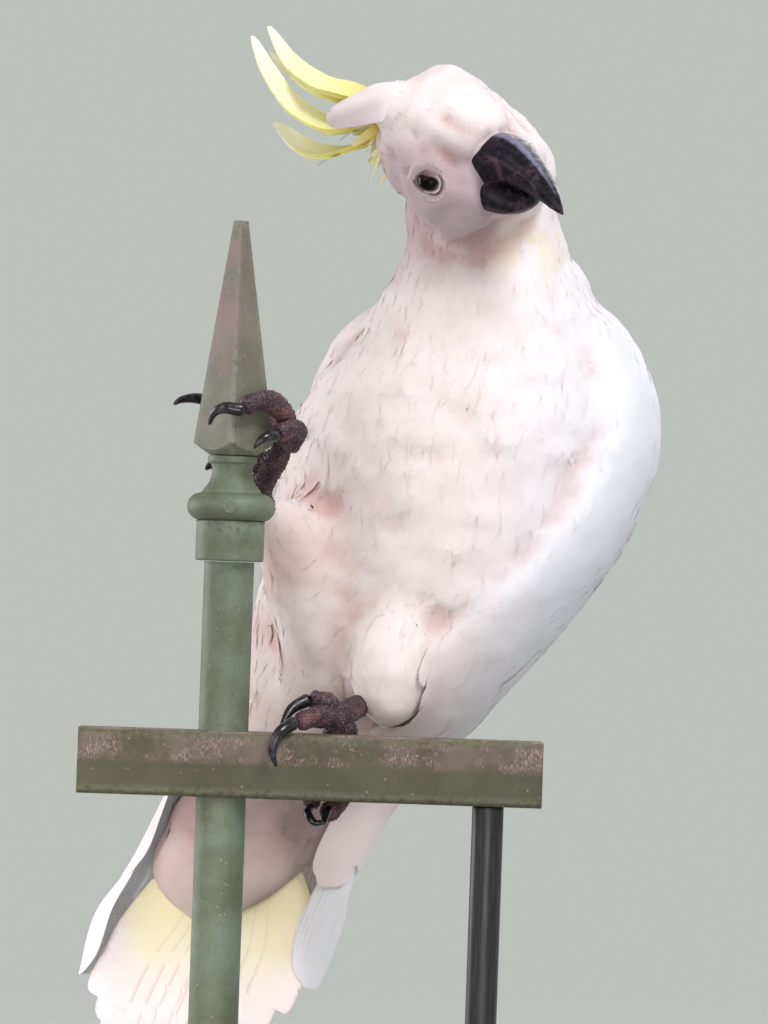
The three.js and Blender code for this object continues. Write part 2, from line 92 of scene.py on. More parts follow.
CREST = {  # places from the crown to the upturned tips, and half width
    "crest_1": [
        [10, -22, 402, 4], [-6, -12, 406.5, 6], [-18, -3, 410.5, 5], [-30, 9, 420, 3.4],
        [-39, 16, 434, 1]],
    "crest_2": [
        [9, -14, 403, 4], [-6, -6, 405, 5.4], [-18, 2, 409, 4.6], [-30, 13, 417, 2.6],
        [-39, 18, 424, 0.8]],
    "crest_3": [
        [10, -21, 398, 4], [-6, -12, 393, 4.4], [-16, -7, 394.6, 5], [-28, 0, 402, 4.2],
        [-38, 4, 415, 3.2], [-45, 6, 429, 1]],
    "crest_4": [
        [10, -10, 392, 4], [-3, 0, 386, 6.6], [-14, 8, 384.4, 6], [-24, 14, 387.4, 4.2],
        [-36, 20, 397, 1.1]],
    "crest_5": [
        [9, -4, 396, 4], [-3, 5, 394, 5], [-13, 12, 394, 4], [-24, 19, 400, 1]]}
THIGHS = {
    "left": [
        [24, 16, 216, 15], [20, 3, 200, 18], [17, -4, 184, 17.5], [15.5, -8, 170, 12.5],
        [14, -10, 162, 7]],
    "right": [
        [-9, 14, 178, 7], [-10, 13, 193, 14], [-15, 11.5, 213, 18.5], [-24, 3, 235, 15.5],
        [-36, -10.5, 249, 7.5]]}
TARSI = {
    "left": [
        [6, -9, 171, 4.2], [0.5, -20, 168, 4.5], [-3, -28.5, 165.8, 4.8]],
    "right": [
        [-27, -1, 237, 4.2], [-35, -11, 249, 4.4], [-33, -19, 258, 4.6], [-27.5, -28, 267, 5]]}
TOES = {  # places and radius of each toe, then of its claw
    "left_inner": (
        [[-1, -32, 165.8, 4], [-6, -36.4, 166.6, 4], [-11, -42, 166.4, 3.8],
         [-17.5, -48, 164.4, 3.4]],
        [[-19.5, -50, 163.6, 2.6], [-24, -54.3, 160, 2.3], [-26.3, -55, 153.5, 1.5],
         [-24.6, -54, 147.5, 0.6]]),
    "left_outer": (
        [[-1, -30, 167.4, 4], [-7, -31, 171.6, 3.9], [-13, -33.5, 173, 3.4]],
        [[-15, -34.5, 172.2, 2.5], [-20, -38.5, 169, 2], [-23.6, -43.5, 162.4, 0.8]]),
    "left_hind_outer": (
        [[0, -27, 164.6, 3.9], [1.8, -20.8, 157, 3.8], [1.4, -20.8, 146, 3.6],
         [0, -21.6, 136, 3.6], [-3.4, -27.5, 131, 3.8], [-4.6, -32, 130.8, 3.4]],
        [[-5, -34, 130.6, 2.2], [-5.6, -38.5, 129.6, 1.8], [-6.2, -42.5, 126, 0.7]]),
    "left_hind_inner": (
        [[-2.4, -27.6, 163.6, 3.6], [-5.2, -21.4, 157, 3.5], [-7.6, -21.4, 147, 3.3],
         [-10.4, -21.8, 137, 3.2], [-11.6, -26, 131.4, 3]],
        [[-11.9, -28, 131, 2], [-12.4, -34.5, 129.6, 1.7], [-9.6, -38.5, 126.4, 1.3],
         [-5, -38.8, 127, 0.6]]),
    "right_outer": (
        [[-26.5, -30, 270, 4], [-25.6, -38.5, 279, 3.9], [-31, -45.4, 285, 3.8],
         [-37.5, -51.6, 285, 3.6], [-42, -56, 282, 3.3]],
        [[-43.6, -57.2, 281.6, 2.5], [-49, -57.4, 282, 2.2], [-52.8, -54.6, 280, 1.5],
         [-54.6, -51, 275.6, 0.6]]),
    "right_inner": (
        [[-25.4, -30.5, 269, 4], [-21.4, -36, 274, 3.8], [-24.6, -43.6, 275, 3.6],
         [-28.6, -48, 273, 3.2]],
        [[-30, -49.4, 272.4, 2.4], [-34, -52.8, 271, 1.8], [-37.4, -53.6, 267.4, 0.6]]),
    "right_hind_outer": (
        [[-27, -29, 271, 4], [-31, -21.6, 277.5, 3.8], [-38, -17, 282, 3.6],
         [-46, -16.8, 284.6, 3.4], [-53, -19.4, 285.4, 3]],
        [[-55, -20.6, 285.6, 2.4], [-61, -23.6, 286.4, 2], [-66, -27, 285.6, 1.4],
         [-69, -30.5, 283.6, 0.6]]),
    "right_hind_inner": (
        [[-27, -28, 267, 3.8], [-31, -21.6, 264, 3.6], [-38, -18.6, 262, 3.4],
         [-46, -18.6, 261.6, 3]],
        [[-48, -19.2, 261.6, 2.2], [-53.6, -22.6, 261.2, 1.8], [-56, -28, 259.4, 0.6]])}

# The fence and the stand
FENCE_Y, PICKET_X, PICKET_RADIUS, PICKET_BOTTOM = -38.0, -45.5, 9.5, 40.0
RAIL_SIZE, RAIL_TOP, RAIL_ENDS, RAIL_CORNER = 25.0, 160.0, (-100.0, 76.0), 2.2
COLLAR_BOTTOM, RING_Z, RING_OUT, RING_HALF = 224.5, 245.0, 16.8, 5.2
SPEAR_BOTTOM, SPEAR_TOP, SPEAR_LOW, SPEAR_HIGH = 264.7, 354.0, 16.4, 2.9
BASE_SIZE, BASE_CORNER, ROD_RADIUS, ROD_2_X = (216.0, 196.0, 12.0), 14.0, 6.0, 56.0


# ---- small maths ----
def unit(v):
    v = np.asarray(v, float)
    return v / np.maximum(np.linalg.norm(v, axis=-1, keepdims=True), 1e-9)


def smooth(x, low, high):
    """0 below low, 1 above high, and an easy curve between; low may be the larger one."""
    t = np.clip((np.asarray(x, float) - low) / (high - low), 0, 1)
    return t * t * (3 - 2 * t)


def catmull(rows, t):
    """A smooth curve through rows of numbers, at t from 0 to 1."""
    rows = np.asarray(rows, float)
    n = len(rows) - 1
    place = np.clip(np.atleast_1d(t), 0, 1) * n
    i = np.minimum(place.astype(int), n - 1)
    w = (place - i)[:, None]
    padded = np.vstack([2 * rows[0] - rows[1], rows, 2 * rows[-1] - rows[-2]])
    a, b, c, d = (padded[i + k] for k in range(4))
    return b + 0.5 * w * (c - a + w * (2 * a - 5 * b + 4 * c - d + w * (3 * (b - c) + d - a)))


def rounded(t, first, last):
    """A round-ended swell from 0 to 1 and back over the two end lengths."""
    a = np.where(t < first, 1 - t / max(first, 1e-9), 0)
    b = np.where(t > 1 - last, (t - 1 + last) / max(last, 1e-9), 0)
    return np.sqrt(np.clip(1 - np.maximum(a, b) ** 2, 0, 1))


HEAD_FORWARD = unit([0.55, -0.83, 0.09])
HEAD_RIGHT = unit(np.cross(HEAD_FORWARD, [-0.33, -0.12, 0.94]))
HEAD_UP = np.cross(HEAD_RIGHT, HEAD_FORWARD)


def on_head(f, r, u):
    """A place given as forward, right and up from the middle of the head."""
    return HEAD + np.multiply.outer(f, HEAD_FORWARD) + np.multiply.outer(r, HEAD_RIGHT) \
        + np.multiply.outer(u, HEAD_UP)


def head_rows(rows):
    return [[*on_head(f, r, u), *size] for f, r, u, *size in rows]


def along_path(path, side, level=False):
    """Unit directions across, in front of and along a path."""
    along = unit(np.gradient(path, axis=0))
    if level:
        along = np.broadcast_to(UP, path.shape)
    across = unit(side - (along @ side)[:, None] * along)
    return across, np.cross(across, along), along


def turns(count):
    """Angles all the way round, evenly spaced."""
    return np.linspace(0, 2 * np.pi, count, endpoint=False)


def eased(steps):
    """Shares of a body's length, closer together near its ends."""
    s = np.linspace(0.002, 0.998, steps + 1)
    return 0.5 * s + 0.25 * (1 - np.cos(np.pi * s))


def sweep(rows, side, steps, around, ends=(0.1, 0.1), level=False):
    """Rings of a body through rows of x, y, z, half width, front depth and back depth."""
    t = eased(steps)
    r = catmull(rows, t)
    across, front, _ = along_path(r[:, :3], np.asarray(side, float), level)
    a = turns(around)
    end = np.maximum(rounded(t, *ends), 0.03)[:, None, None]
    deep = np.where(np.sin(a) > 0, r[:, 4:5], r[:, 5:6])[:, :, None]
    return r[:, None, :3] + end * (across[:, None] * (r[:, 3:4, None] * np.cos(a)[:, None])
                                   + front[:, None] * (deep * np.sin(a)[:, None]))


def limb(places, steps, around, ends=(0.06, 0.12)):
    """Rings of a round limb through rows of x, y, z and radius."""
    p = np.asarray(places, float)
    side = unit(np.cross(p[len(p) // 2, :3] - p[0, :3], p[-1, :3] - p[len(p) // 2, :3]))
    return sweep(np.column_stack([p, p[:, 3], p[:, 3]]), side, steps, around, ends)


# ---- meshes ----
def ring_quads(n, m, rows):
    """Quads between n rings of m vertices; n rows of them close the rings into a loop."""
    i, j = np.meshgrid(np.arange(rows), np.arange(m), indexing="ij")
    this, after, k = i * m, (i + 1) % n * m, (j + 1) % m
    return np.stack([this + j, this + k, after + k, after + j], -1).reshape(-1, 4)


def closed(rings):
    """Vertices and faces of rings joined into a tube with closed ends, facing outwards."""
    n, m = rings.shape[:2]
    verts = np.vstack([rings.reshape(-1, 3), rings[0].mean(0), rings[-1].mean(0)])
    quads = ring_quads(n, m, n - 1)
    j = np.arange(m)
    k = (j + 1) % m
    low = np.stack([np.full(m, n * m), k, j], -1)
    high = np.stack([np.full(m, n * m + 1), (n - 1) * m + j, (n - 1) * m + k], -1)
    a, b, c, d = (verts[quads[:, q]] for q in range(4))
    volume = (np.cross(b - a, c - a) * a).sum() + (np.cross(c - a, d - a) * a).sum()
    faces = [quads, low, high]
    return verts, [f[:, ::-1] for f in faces] if volume < 0 else faces


def joined(parts):
    """One list of vertices and one of faces from several (vertices, faces)."""
    verts, faces, start = [], [], 0
    for v, fs in parts:
        verts.append(v)
        faces += [f + start for f in fs]
        start += len(v)
    return np.vstack(verts), faces


def add_object(name, data):
    obj = bpy.data.objects.new(name, data)
    scene.collection.objects.link(obj)
    return obj


def piece(name, verts, faces):
    """A mesh object from vertices in millimetres and arrays of faces."""
    mesh = bpy.data.meshes.new(name)
    corners = np.concatenate([f.ravel() for f in faces]).astype(np.int32)
    sizes = np.concatenate([np.full(len(f), f.shape[1]) for f in faces])
    starts = np.concatenate([[0], np.cumsum(sizes)[:-1]]).astype(np.int32)
    mesh.vertices.add(len(verts))
    mesh.vertices.foreach_set("co", (verts * MM).astype(np.float32).ravel())
    mesh.loops.add(len(corners))
    mesh.loops.foreach_set("vertex_index", corners)
    mesh.polygons.add(len(sizes))
    mesh.polygons.foreach_set("loop_start", starts)
    mesh.polygons.foreach_set("use_smooth", np.ones(len(sizes), bool))
    mesh.update(calc_edges=True)
    return add_object(name, mesh)


def tree_of(verts, faces):
    """A tree for the nearest place on a mesh, from vertices and arrays of faces."""
    return BVHTree.FromPolygons(verts.tolist(), [tuple(f) for fs in faces for f in fs.tolist()])


def corner_vertices(mesh):
    found = np.zeros(len(mesh.loops), np.int32)
    mesh.loops.foreach_get("vertex_index", found)
    return found


def add_map(obj, name, per_vertex):
    """A UV map from one pair of numbers for each vertex."""
    mesh = obj.data
    layer = mesh.uv_layers.new(name=name)
    layer.data.foreach_set("uv", per_vertex[corner_vertices(mesh)].astype(np.float32).ravel())


def add_value(obj, name, values):
    """A number for each vertex, which the material reads."""
    layer = obj.data.attributes.new(name, "FLOAT", "POINT")
    layer.data.foreach_set("value", np.asarray(values, np.float32).ravel())


def finish_piece(obj, material, slot, *nodes):
    obj.data.materials.clear()
    obj.data.materials.append(material)
    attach(obj, "root")
    if nodes:
        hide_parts(*nodes)
    return obj


def evaluated(obj):
    """The object's mesh with its modifiers applied, as a plain mesh."""
    graph = bpy.context.evaluated_depsgraph_get()
    mesh = bpy.data.meshes.new_from_object(obj.evaluated_get(graph))
    obj.modifiers.clear()
    obj.data = mesh
    return obj


# ---- camera ----
CAMERA_PLACE = np.array([12.6, -2238.0, 213.0])
CAMERA_TARGET = np.array([12.6, -38.0, 245.2])
CAMERA_ROLL = math.radians(2)
SENSOR = 36
FENCE_DISTANCE = 2200  # from the camera to the plane of the fence
FRAME_AT_FENCE = 389.12  # how much of that plane the view takes in, from top to bottom

camera_data = bpy.data.cameras.new("camera")
camera_data.sensor_width = SENSOR
camera_data.lens = SENSOR * FENCE_DISTANCE / FRAME_AT_FENCE
camera_data.clip_end = 50
camera = add_object("camera", camera_data)
ahead = unit(CAMERA_TARGET - CAMERA_PLACE)
right = unit(np.cross(ahead, UP))
above = np.cross(right, ahead)
cr, sr = math.cos(CAMERA_ROLL), math.sin(CAMERA_ROLL)
turned = Matrix(np.column_stack([right * cr + above * sr, above * cr - right * sr, -ahead])
                .tolist())
camera.matrix_world = Matrix.Translation(Vector(CAMERA_PLACE * MM)) @ turned.to_4x4()
scene.camera = camera


# ---- materials ----
class Tree:
    """Short ways to add and join the nodes of one material or group."""

    def __init__(self, tree):
        self.tree = tree

    def node(self, kind, **settings):
        made = self.tree.nodes.new(kind)
        inputs = settings.pop("inputs", {})
        for key, value in settings.items():
            setattr(made, key, value)
        for key, value in inputs.items():
            self.put(value, made.inputs[key])
        return made

    def put(self, value, socket):
        if isinstance(value, bpy.types.NodeSocket):
            self.tree.links.new(value, socket)
        elif isinstance(value, tuple) and len(value) == 3 and socket.type == "RGBA":
            socket.default_value = (*value, 1)
        else:
            socket.default_value = value

    def maths(self, operation, a, b):
        made = self.node("ShaderNodeMath", operation=operation)
        self.put(a, made.inputs[0])
        self.put(b, made.inputs[1])
        return made.outputs[0]

    def times(self, a, b):
        return self.maths("MULTIPLY", a, b)

    def axes(self, where):
        return self.node("ShaderNodeSeparateXYZ", inputs={"Vector": where}).outputs

    def shade(self, amount, color, by):
        """The colour, darkened by another as far as the amount says."""
        return self.mix(amount, color, self.mix(1.0, color, by, "MULTIPLY"))

    def mix(self, amount, a, b, kind="MIX"):
        made = self.node("ShaderNodeMix", data_type="RGBA", blend_type=kind)
        self.put(amount, made.inputs[0])
        self.put(a, made.inputs[6])
        self.put(b, made.inputs[7])
        return made.outputs[2]

    def noise(self, scale, where, detail=4.0, roughness=0.5, distortion=0.0):
        return self.node("ShaderNodeTexNoise", inputs={
            "Vector": where, "Scale": scale, "Detail": detail, "Roughness": roughness,
            "Distortion": distortion}).outputs["Fac"]

    def ramp(self, value, low, high):
        """0 at low and 1 at high, with an easy curve between."""
        return self.node("ShaderNodeMapRange", interpolation_type="SMOOTHSTEP", inputs={
            "Value": value, "From Min": low, "From Max": high}).outputs["Result"]

    def stretched(self, where, scale, turn=(0, 0, 0)):
        return self.node("ShaderNodeMapping", inputs={
            "Vector": where, "Rotation": turn, "Scale": scale}).outputs[0]

    def bump(self, height, strength, distance):
        return self.node("ShaderNodeBump", inputs={
            "Height": height, "Strength": strength, "Distance": distance}).outputs["Normal"]

    def object_place(self):
        return self.node("ShaderNodeTexCoord").outputs["Object"]

    def uv(self, name):
        return self.node("ShaderNodeUVMap", uv_map=name).outputs["UV"]

    def value(self, name):
        return self.node("ShaderNodeAttribute", attribute_name=name).outputs["Fac"]

    def group(self, tree, **inputs):
        made = self.node("ShaderNodeGroup", node_tree=tree)
        for key, value in inputs.items():
            self.put(value, made.inputs[key.replace("_", " ")])
        return made.outputs


def material(name):
    made = bpy.data.materials.new(name)
    made.use_nodes = True
    t = Tree(made.node_tree)
    shader = made.node_tree.nodes["Principled BSDF"]
    return made, t, shader


def cover(t, shader, color, normal=None, **values):
    """Join a colour and a fine relief to the shader, and set its other values."""
    t.put(color, shader.inputs["Base Color"])
    if normal is not None:
        t.put(normal, shader.inputs["Normal"])
    for key, value in values.items():
        t.put(value, shader.inputs[key.replace("_", " ")])


def shader_group(name, inputs, outputs):
    """An empty shader node group with named inputs and outputs, and its two end nodes."""
    tree = bpy.data.node_groups.new(name, "ShaderNodeTree")
    for socket, kind, default in inputs:
        made = tree.interface.new_socket(socket, in_out="INPUT", socket_type=kind)
        made.default_value = (*default, 1) if isinstance(default, tuple) else default
    for socket, kind in outputs:
        tree.interface.new_socket(socket, in_out="OUTPUT", socket_type=kind)
    t = Tree(tree)
    return tree, t, t.node("NodeGroupInput").outputs, t.node("NodeGroupOutput").inputs


COLOR, FLOAT, NORMAL = "NodeSocketColor", "NodeSocketFloat", "NodeSocketVector"

# Plumage tint: painted warm shade (blush) low on the breast and belly towards the bird's right,
# painted bluish light on the bird's lit left side, fine mottle, painted shade in creases and
# furrows.
plumage_tint, t, given, out = shader_group(
    "Plumage tint",
    [("White", COLOR, (0.87, 0.835, 0.83)), ("Blush", COLOR, (0.70, 0.53, 0.475)),
     ("Cool", COLOR, (0.83, 0.855, 0.92)), ("Blush amount", FLOAT, 0.55),
     ("Cool amount", FLOAT, 0.6), ("Mottle", FLOAT, 0.12)],
    [("Color", COLOR), ("Mottle", FLOAT)])
where = t.object_place()
x, _, z = t.axes(where)
soft = t.noise(34, where, 3)
across = t.maths("ADD", x, t.times(z, -0.12))
# Painted warm shade: a blush low down on the bird's right, the side away from the key lamp
low = t.ramp(z, 0.335, 0.235)
left_side = t.ramp(across, 0.020, -0.062)
blush = t.times(t.times(low, left_side), t.ramp(soft, 0.3, 0.72))
blush = t.times(blush, given["Blush amount"])
# Painted light: a bluish white on the bird's left side, which faces the key lamp
cool = t.times(t.ramp(across, 0.0, 0.055), given["Cool amount"])
tint = t.mix(blush, given["White"], given["Blush"])
tint = t.mix(cool, tint, given["Cool"])
mottle = t.noise(150, where, 5, 0.65)
shade = t.times(t.ramp(mottle, 0.62, 0.30), given["Mottle"])
tint = t.shade(shade, tint, (0.82, 0.76, 0.78))
# Painted warm shade in the creases of the skin and coat
crease_shade_amount = t.ramp(t.value("crease_shade"), 0.03, 1.1)
tint = t.shade(t.times(crease_shade_amount, 0.8), tint, (0.80, 0.62, 0.58))
# Painted red-brown shade along the bottom of the face furrows
tint = t.mix(t.times(t.value("furrow_shade"), 0.9), tint, (0.24, 0.095, 0.080))
t.put(tint, out["Color"])
t.put(mottle, out["Mottle"])

# Barbs: fine slanting lines on a vane, from its own map (across, along the barbs), in millimetres.
barb_lines, t, given, out = shader_group(
    "Barb lines",
    [("Lines per mm", FLOAT, 2.2), ("Strength", FLOAT, 0.5)],
    [("Normal", NORMAL), ("Height", FLOAT)])
flat_map = t.axes(t.uv("Vane"))
line = t.times(flat_map["Y"], given["Lines per mm"])
place = t.node("ShaderNodeCombineXYZ", inputs={
    "X": t.times(flat_map["X"], 0.16), "Y": line}).outputs[0]
height = t.noise(1.0, place, 3, 0.6)
t.put(height, out["Height"])
t.put(t.bump(height, given["Strength"], 0.0002), out["Normal"])


def plumage(name, white, blush_amount, cool_amount, wash=None, roughness=0.78, barbs=0.5,
            lines=2.2):
    """Feather material: the shared tint, an optional wash of colour, and fine barb lines."""
    made, t, shader = material(name)
    tint = t.group(plumage_tint, White=white, Blush_amount=blush_amount, Cool_amount=cool_amount)
    color = tint["Color"]
    if wash:
        color = wash(t, color)
    barb = t.group(barb_lines, Lines_per_mm=lines, Strength=barbs)
    color = t.shade(t.times(t.ramp(barb["Height"], 0.55, 0.25), 0.35), color, (0.86, 0.81, 0.83))
    cover(t, shader, color, barb["Normal"], Roughness=roughness, Specular_IOR_Level=0.25,
          Sheen_Weight=0.12, Sheen_Roughness=0.5)
    return made


# ---- the skin under the feathers ----
VOXEL = 1.8  # width of the cells that the skin is built from
# How far the skin lies inside the outline of each part, to leave room for the feathers
SKIN_DEPTH = {"trunk": 2.4, "head": 1.3, "thigh": 1.9, "wing": 2.0, "lock": 1.0}
REGIONS = list(SKIN_DEPTH)


MELT = 12  # how closely the head keeps to its separate masses


def head_rings(steps=56, around=80):
    """The head: the rounded masses of HEAD_MASSES, melted into one."""
    lat = (np.linspace(0.01, 0.99, steps + 1)[:, None] - 0.5) * np.pi
    lon = turns(around)[None]
    d = np.stack([np.cos(lat) * np.cos(lon), np.cos(lat) * np.sin(lon), np.sin(lat) + 0 * lon], -1)
    total = 0
    for *centre, radius in HEAD_MASSES:
        ahead_of = d @ np.array(centre, float)
        root = ahead_of ** 2 - np.dot(centre, centre) + radius ** 2
        total = total + np.maximum(ahead_of + np.sqrt(np.maximum(root, 0)), 0) ** MELT
    reach = total ** (1 / MELT)
    return on_head(d[..., 0] * reach, d[..., 1] * reach, d[..., 2] * reach)


def wing_edges(hand, section):
    """Front edge, back edge and thickness of a wing at places along the carrier's sections."""
    rows = np.array(WINGS[hand], float)
    s = np.linspace(0, 1, 600)
    found = catmull(rows, s)
    return [np.interp(section, found[:, 0], found[:, k]) for k in (1, 2, 3)]


def on_wing(hand, section, degrees, out):
    """A place on a wing: carrier section, degrees from the bird's side, and height over it."""
    section, degrees, out = np.broadcast_arrays(*(np.asarray(v, float)
                                                  for v in (section, degrees, out)))
    r = catmull(CARRIER, section.ravel() / (len(CARRIER) - 1)).reshape(*section.shape, 6)
    a = np.radians(degrees)
    deep = np.where(a > 0, r[..., 4], r[..., 5])
    return r[..., :3] + HANDS[hand] * LEFT * ((r[..., 3] + out) * np.cos(a))[..., None] \
        + FRONT * ((deep + out) * np.sin(a))[..., None]


THICK_PART = 7.0  # as far as this section, small feathers cover a wing


def wing_rings(hand):
    """The thick upper part of a wing, which is under small feathers."""
    s = np.linspace(0, 1, 64)
    section = 0.02 + THICK_PART * s
    first, last, thick = (v[:, None] for v in wing_edges(hand, section))
    a = turns(56)[None]
    end = np.maximum(rounded(s, 0.10, 0.12), 0.02)[:, None]
    degrees = (first + last) / 2 + (first - last) / 2 * np.cos(a) * end
    rise = 0.5 + 0.5 * np.sin(a)
    return on_wing(hand, section[:, None] + 0 * a, degrees, ((thick + 6) * rise - 6) * end)


def merge_solids(parts, voxel):
    """One even mesh round several overlapping solids: (vertices in mm, quads)."""
    rough = piece("rough", *joined([closed(r) for r in parts]))
    remesh = rough.modifiers.new("remesh", "REMESH")
    remesh.mode = "VOXEL"
    remesh.voxel_size = voxel * MM
    evaluated(rough)
    mesh = rough.data
    verts = np.zeros(len(mesh.vertices) * 3, np.float32)
    mesh.vertices.foreach_get("co", verts)
    faces = corner_vertices(mesh).reshape(-1, 4)
    bpy.data.objects.remove(rough)
    return verts.reshape(-1, 3).astype(float) / MM, faces


def spread(values, faces, rounds, amount=0.5):
    """Values of the vertices, each eased towards the mean of its neighbours, several times."""
    edges = np.unique(np.sort(np.vstack([faces[:, [0, 1]], faces[:, [1, 2]], faces[:, [2, 3]],
                                         faces[:, [3, 0]]]), axis=1), axis=0)
    a, b = edges[:, 0], edges[:, 1]
    n = len(values)
    count = np.bincount(a, minlength=n) + np.bincount(b, minlength=n)
    values = np.array(values, float).reshape(n, -1)
    for _ in range(rounds):
        for k in range(values.shape[1]):
            v = values[:, k]
            mean = (np.bincount(a, v[b], n) + np.bincount(b, v[a], n)) / np.maximum(count, 1)
            values[:, k] = v + amount * (mean - v)
    return values


def vertex_normals(verts, faces):
    a, b, c, d = (verts[faces[:, k]] for k in range(4))
    flat = np.cross(c - a, d - b)
    normals = np.stack([sum(np.bincount(faces[:, q], flat[:, k], len(verts)) for q in range(4))
                        for k in range(3)], -1)
    return unit(normals)


class Surface:
    """A mesh to lay feathers on: the nearest place on it, with a smooth direction outwards."""

    def __init__(self, verts, faces):
        self.verts, self.faces = verts, faces
        self.normals = vertex_normals(verts, faces)
        self.tree = BVHTree.FromPolygons(verts.tolist(), faces.tolist())
        self.middles = verts[faces].mean(1)

    def nearest(self, points):
        """Nearest places and the number of the face of each."""
        find = self.tree.find_nearest
        found = [find(p) for p in points.tolist()]
        return np.array([f[0] for f in found], float), np.array([f[2] for f in found])

    def normal_at(self, face, point):
        """The outward direction there, weighted between the face's corners."""
        corners = self.faces[face]
        gap = np.linalg.norm(self.verts[corners] - point[:, None], axis=-1)
        weight = 1 / (gap + 0.15) ** 2
        return unit((self.normals[corners] * weight[..., None]).sum(1))


shapes = {
    "trunk": [sweep(TORSO, LEFT, 120, 96, (0.05, 0.07), level=True)],
    "head": [head_rings()],
    "thigh": [limb(THIGHS[hand], 40, 40, (0.1, 0.16)) for hand in HANDS],
    "wing": [wing_rings(hand) for hand in HANDS],
    "lock": [sweep([[x, y, z, w, w * 0.5, w * 0.5] for x, y, z, w in LOCK], HEAD_UP, 30, 24)]}
skin_verts, skin_faces = merge_solids([r for rings in shapes.values() for r in rings], VOXEL)
skin_verts = spread(skin_verts, skin_faces, 8)

# Which part of the body each place belongs to, with soft borders
reach = []
for part in REGIONS:
    trees = [tree_of(*closed(rings)) for rings in shapes[part]]
    reach.append([min(tree.find_nearest(p)[3] for tree in trees) for p in skin_verts.tolist()])
nearest_part = np.argmin(reach, axis=0)
belongs = spread(np.eye(len(REGIONS))[nearest_part], skin_faces, 6)
depth = belongs @ np.array(list(SKIN_DEPTH.values()))
depth *= smooth(skin_verts[:, 2], 84, 124)
skin_verts = skin_verts - vertex_normals(skin_verts, skin_faces) * depth[:, None]
skin_verts = spread(skin_verts, skin_faces, 4)
border = 1 - (spread(np.eye(len(REGIONS))[nearest_part], skin_faces, 16) ** 2).sum(1)
skin_verts = spread(skin_verts, skin_faces, 30, 0.5 * smooth(border, 0.05, 0.35))


# ---- the lie of the feathers ----
def scatter(points, spacing):
    """Numbers of the places that keep their spacing from those taken before them."""
    taken = []
    for low, high in ((6, 99), (4, 6), (2.6, 4), (1.7, 2.6), (1.1, 1.7), (0, 1.1)):
        group = np.flatnonzero((spacing >= low) & (spacing < high))
        if not len(group):
            continue
        cell = spacing[group].max()
        cells = {}
        keys = np.floor(points[group] / cell).astype(int).tolist()
        for i, (a, b, c), (x, y, z), gap in zip(group.tolist(), keys, points[group].tolist(),
                                                (spacing[group] ** 2).tolist()):
            if all((u - x) ** 2 + (v - y) ** 2 + (w - z) ** 2 >= gap
                   for p in (a - 1, a, a + 1) for q in (b - 1, b, b + 1)
                   for r in (c - 1, c, c + 1) for u, v, w in cells.get((p, q, r), ())):
                cells.setdefault((a, b, c), []).append((x, y, z))
                taken.append(i)
    return np.array(taken)


BILL_ROOT = on_head(24, 0, -6)
EYES = {hand: on_head(EYE_PLACE[0], -HANDS[hand] * EYE_PLACE[1], EYE_PLACE[2]) for hand in HANDS}


def spine_at(z):
    """Direction from nape to tail along the trunk, at heights z."""
    rows = np.array(TORSO, float)[:, :3]
    t = np.interp(z, rows[:, 2], np.linspace(0, 1, len(rows)))
    return unit(catmull(rows, t - 0.02) - catmull(rows, t + 0.02))


def lie_at(points, weights):
    """Direction in which feathers lie at places on the skin, before it is laid on the surface."""
    head = unit(points - BILL_ROOT)
    head = head + 0.35 * smooth(points[:, 2], 392, 366)[:, None] * -UP
    for eye in EYES.values():
        away = points - eye
        gap = np.linalg.norm(away, axis=1, keepdims=True)
        head = head + unit(away) * 0.9 * smooth(gap, 12, 6.5)
    trunk = spine_at(points[:, 2])
    thigh = np.zeros_like(points)
    for rows in THIGHS.values():
        rows = np.array(rows, float)
        near = np.linalg.norm(points - rows[:, :3].mean(0), axis=1, keepdims=True) < 45
        thigh = thigh + near * unit(rows[-1, :3] - rows[0, :3])
    rows = np.array(CARRIER, float)[:, :3]
    t = np.interp(-points[:, 2], -rows[:, 2], np.linspace(0, 1, len(rows)))
    wing = unit(catmull(rows, t + 0.03) - catmull(rows, t - 0.03)) + 0.10 * FRONT
    lock = np.broadcast_to(unit(np.array(LOCK[-1][:3]) - np.array(LOCK[0][:3])), points.shape)
    ways = dict(trunk=trunk, head=unit(head), thigh=thigh, wing=wing, lock=lock)
    return sum(weights[:, [k]] * ways[part] for k, part in enumerate(REGIONS))


lie = lie_at(skin_verts, belongs)
lie = unit(spread(unit(lie), skin_faces, 10))

# Soft relief: broad lumps, and large scallops that lie like the feathers over them
normals = vertex_normals(skin_verts, skin_faces)
lumps = np.array([noise.noise(Vector(p) / 19) + 0.6 * noise.noise(Vector(p) / 9 + Vector((7, 3, 1)))
                  for p in skin_verts.tolist()])
rng = np.random.default_rng(3)
on_face_part = belongs[:, REGIONS.index("head")] + belongs[:, REGIONS.index("lock")]
gap = np.where(on_face_part > 0.5, 7.5, 12.0)
order = rng.permutation(len(skin_verts))
centres = order[scatter(skin_verts[order], gap[order])]
nearby = KDTree(len(centres))
for k, v in enumerate(centres.tolist()):
    nearby.insert(Vector(skin_verts[v]), k)
nearby.balance()
size, proud = gap[centres] * 0.86, rng.uniform(0.45, 1.25, len(centres))
across_lie = np.cross(lie, normals)
scallops = np.zeros(len(skin_verts))
for v, spot in enumerate(skin_verts.tolist()):
    for _, k, _ in nearby.find_range(Vector(spot), 13):
        c = centres[k]
        away = (skin_verts[v] - skin_verts[c]) / size[k]
        u, w = away @ lie[c], away @ across_lie[c]
        inside = 1.25 - math.hypot(max(u, 0.0), w * 1.1)
        if inside > 0:
            rise = min(max((u + 1.3) / 2.2, 0), 1) * min(inside * 3.6, 1)
            scallops[v] = max(scallops[v], rise * proud[k])
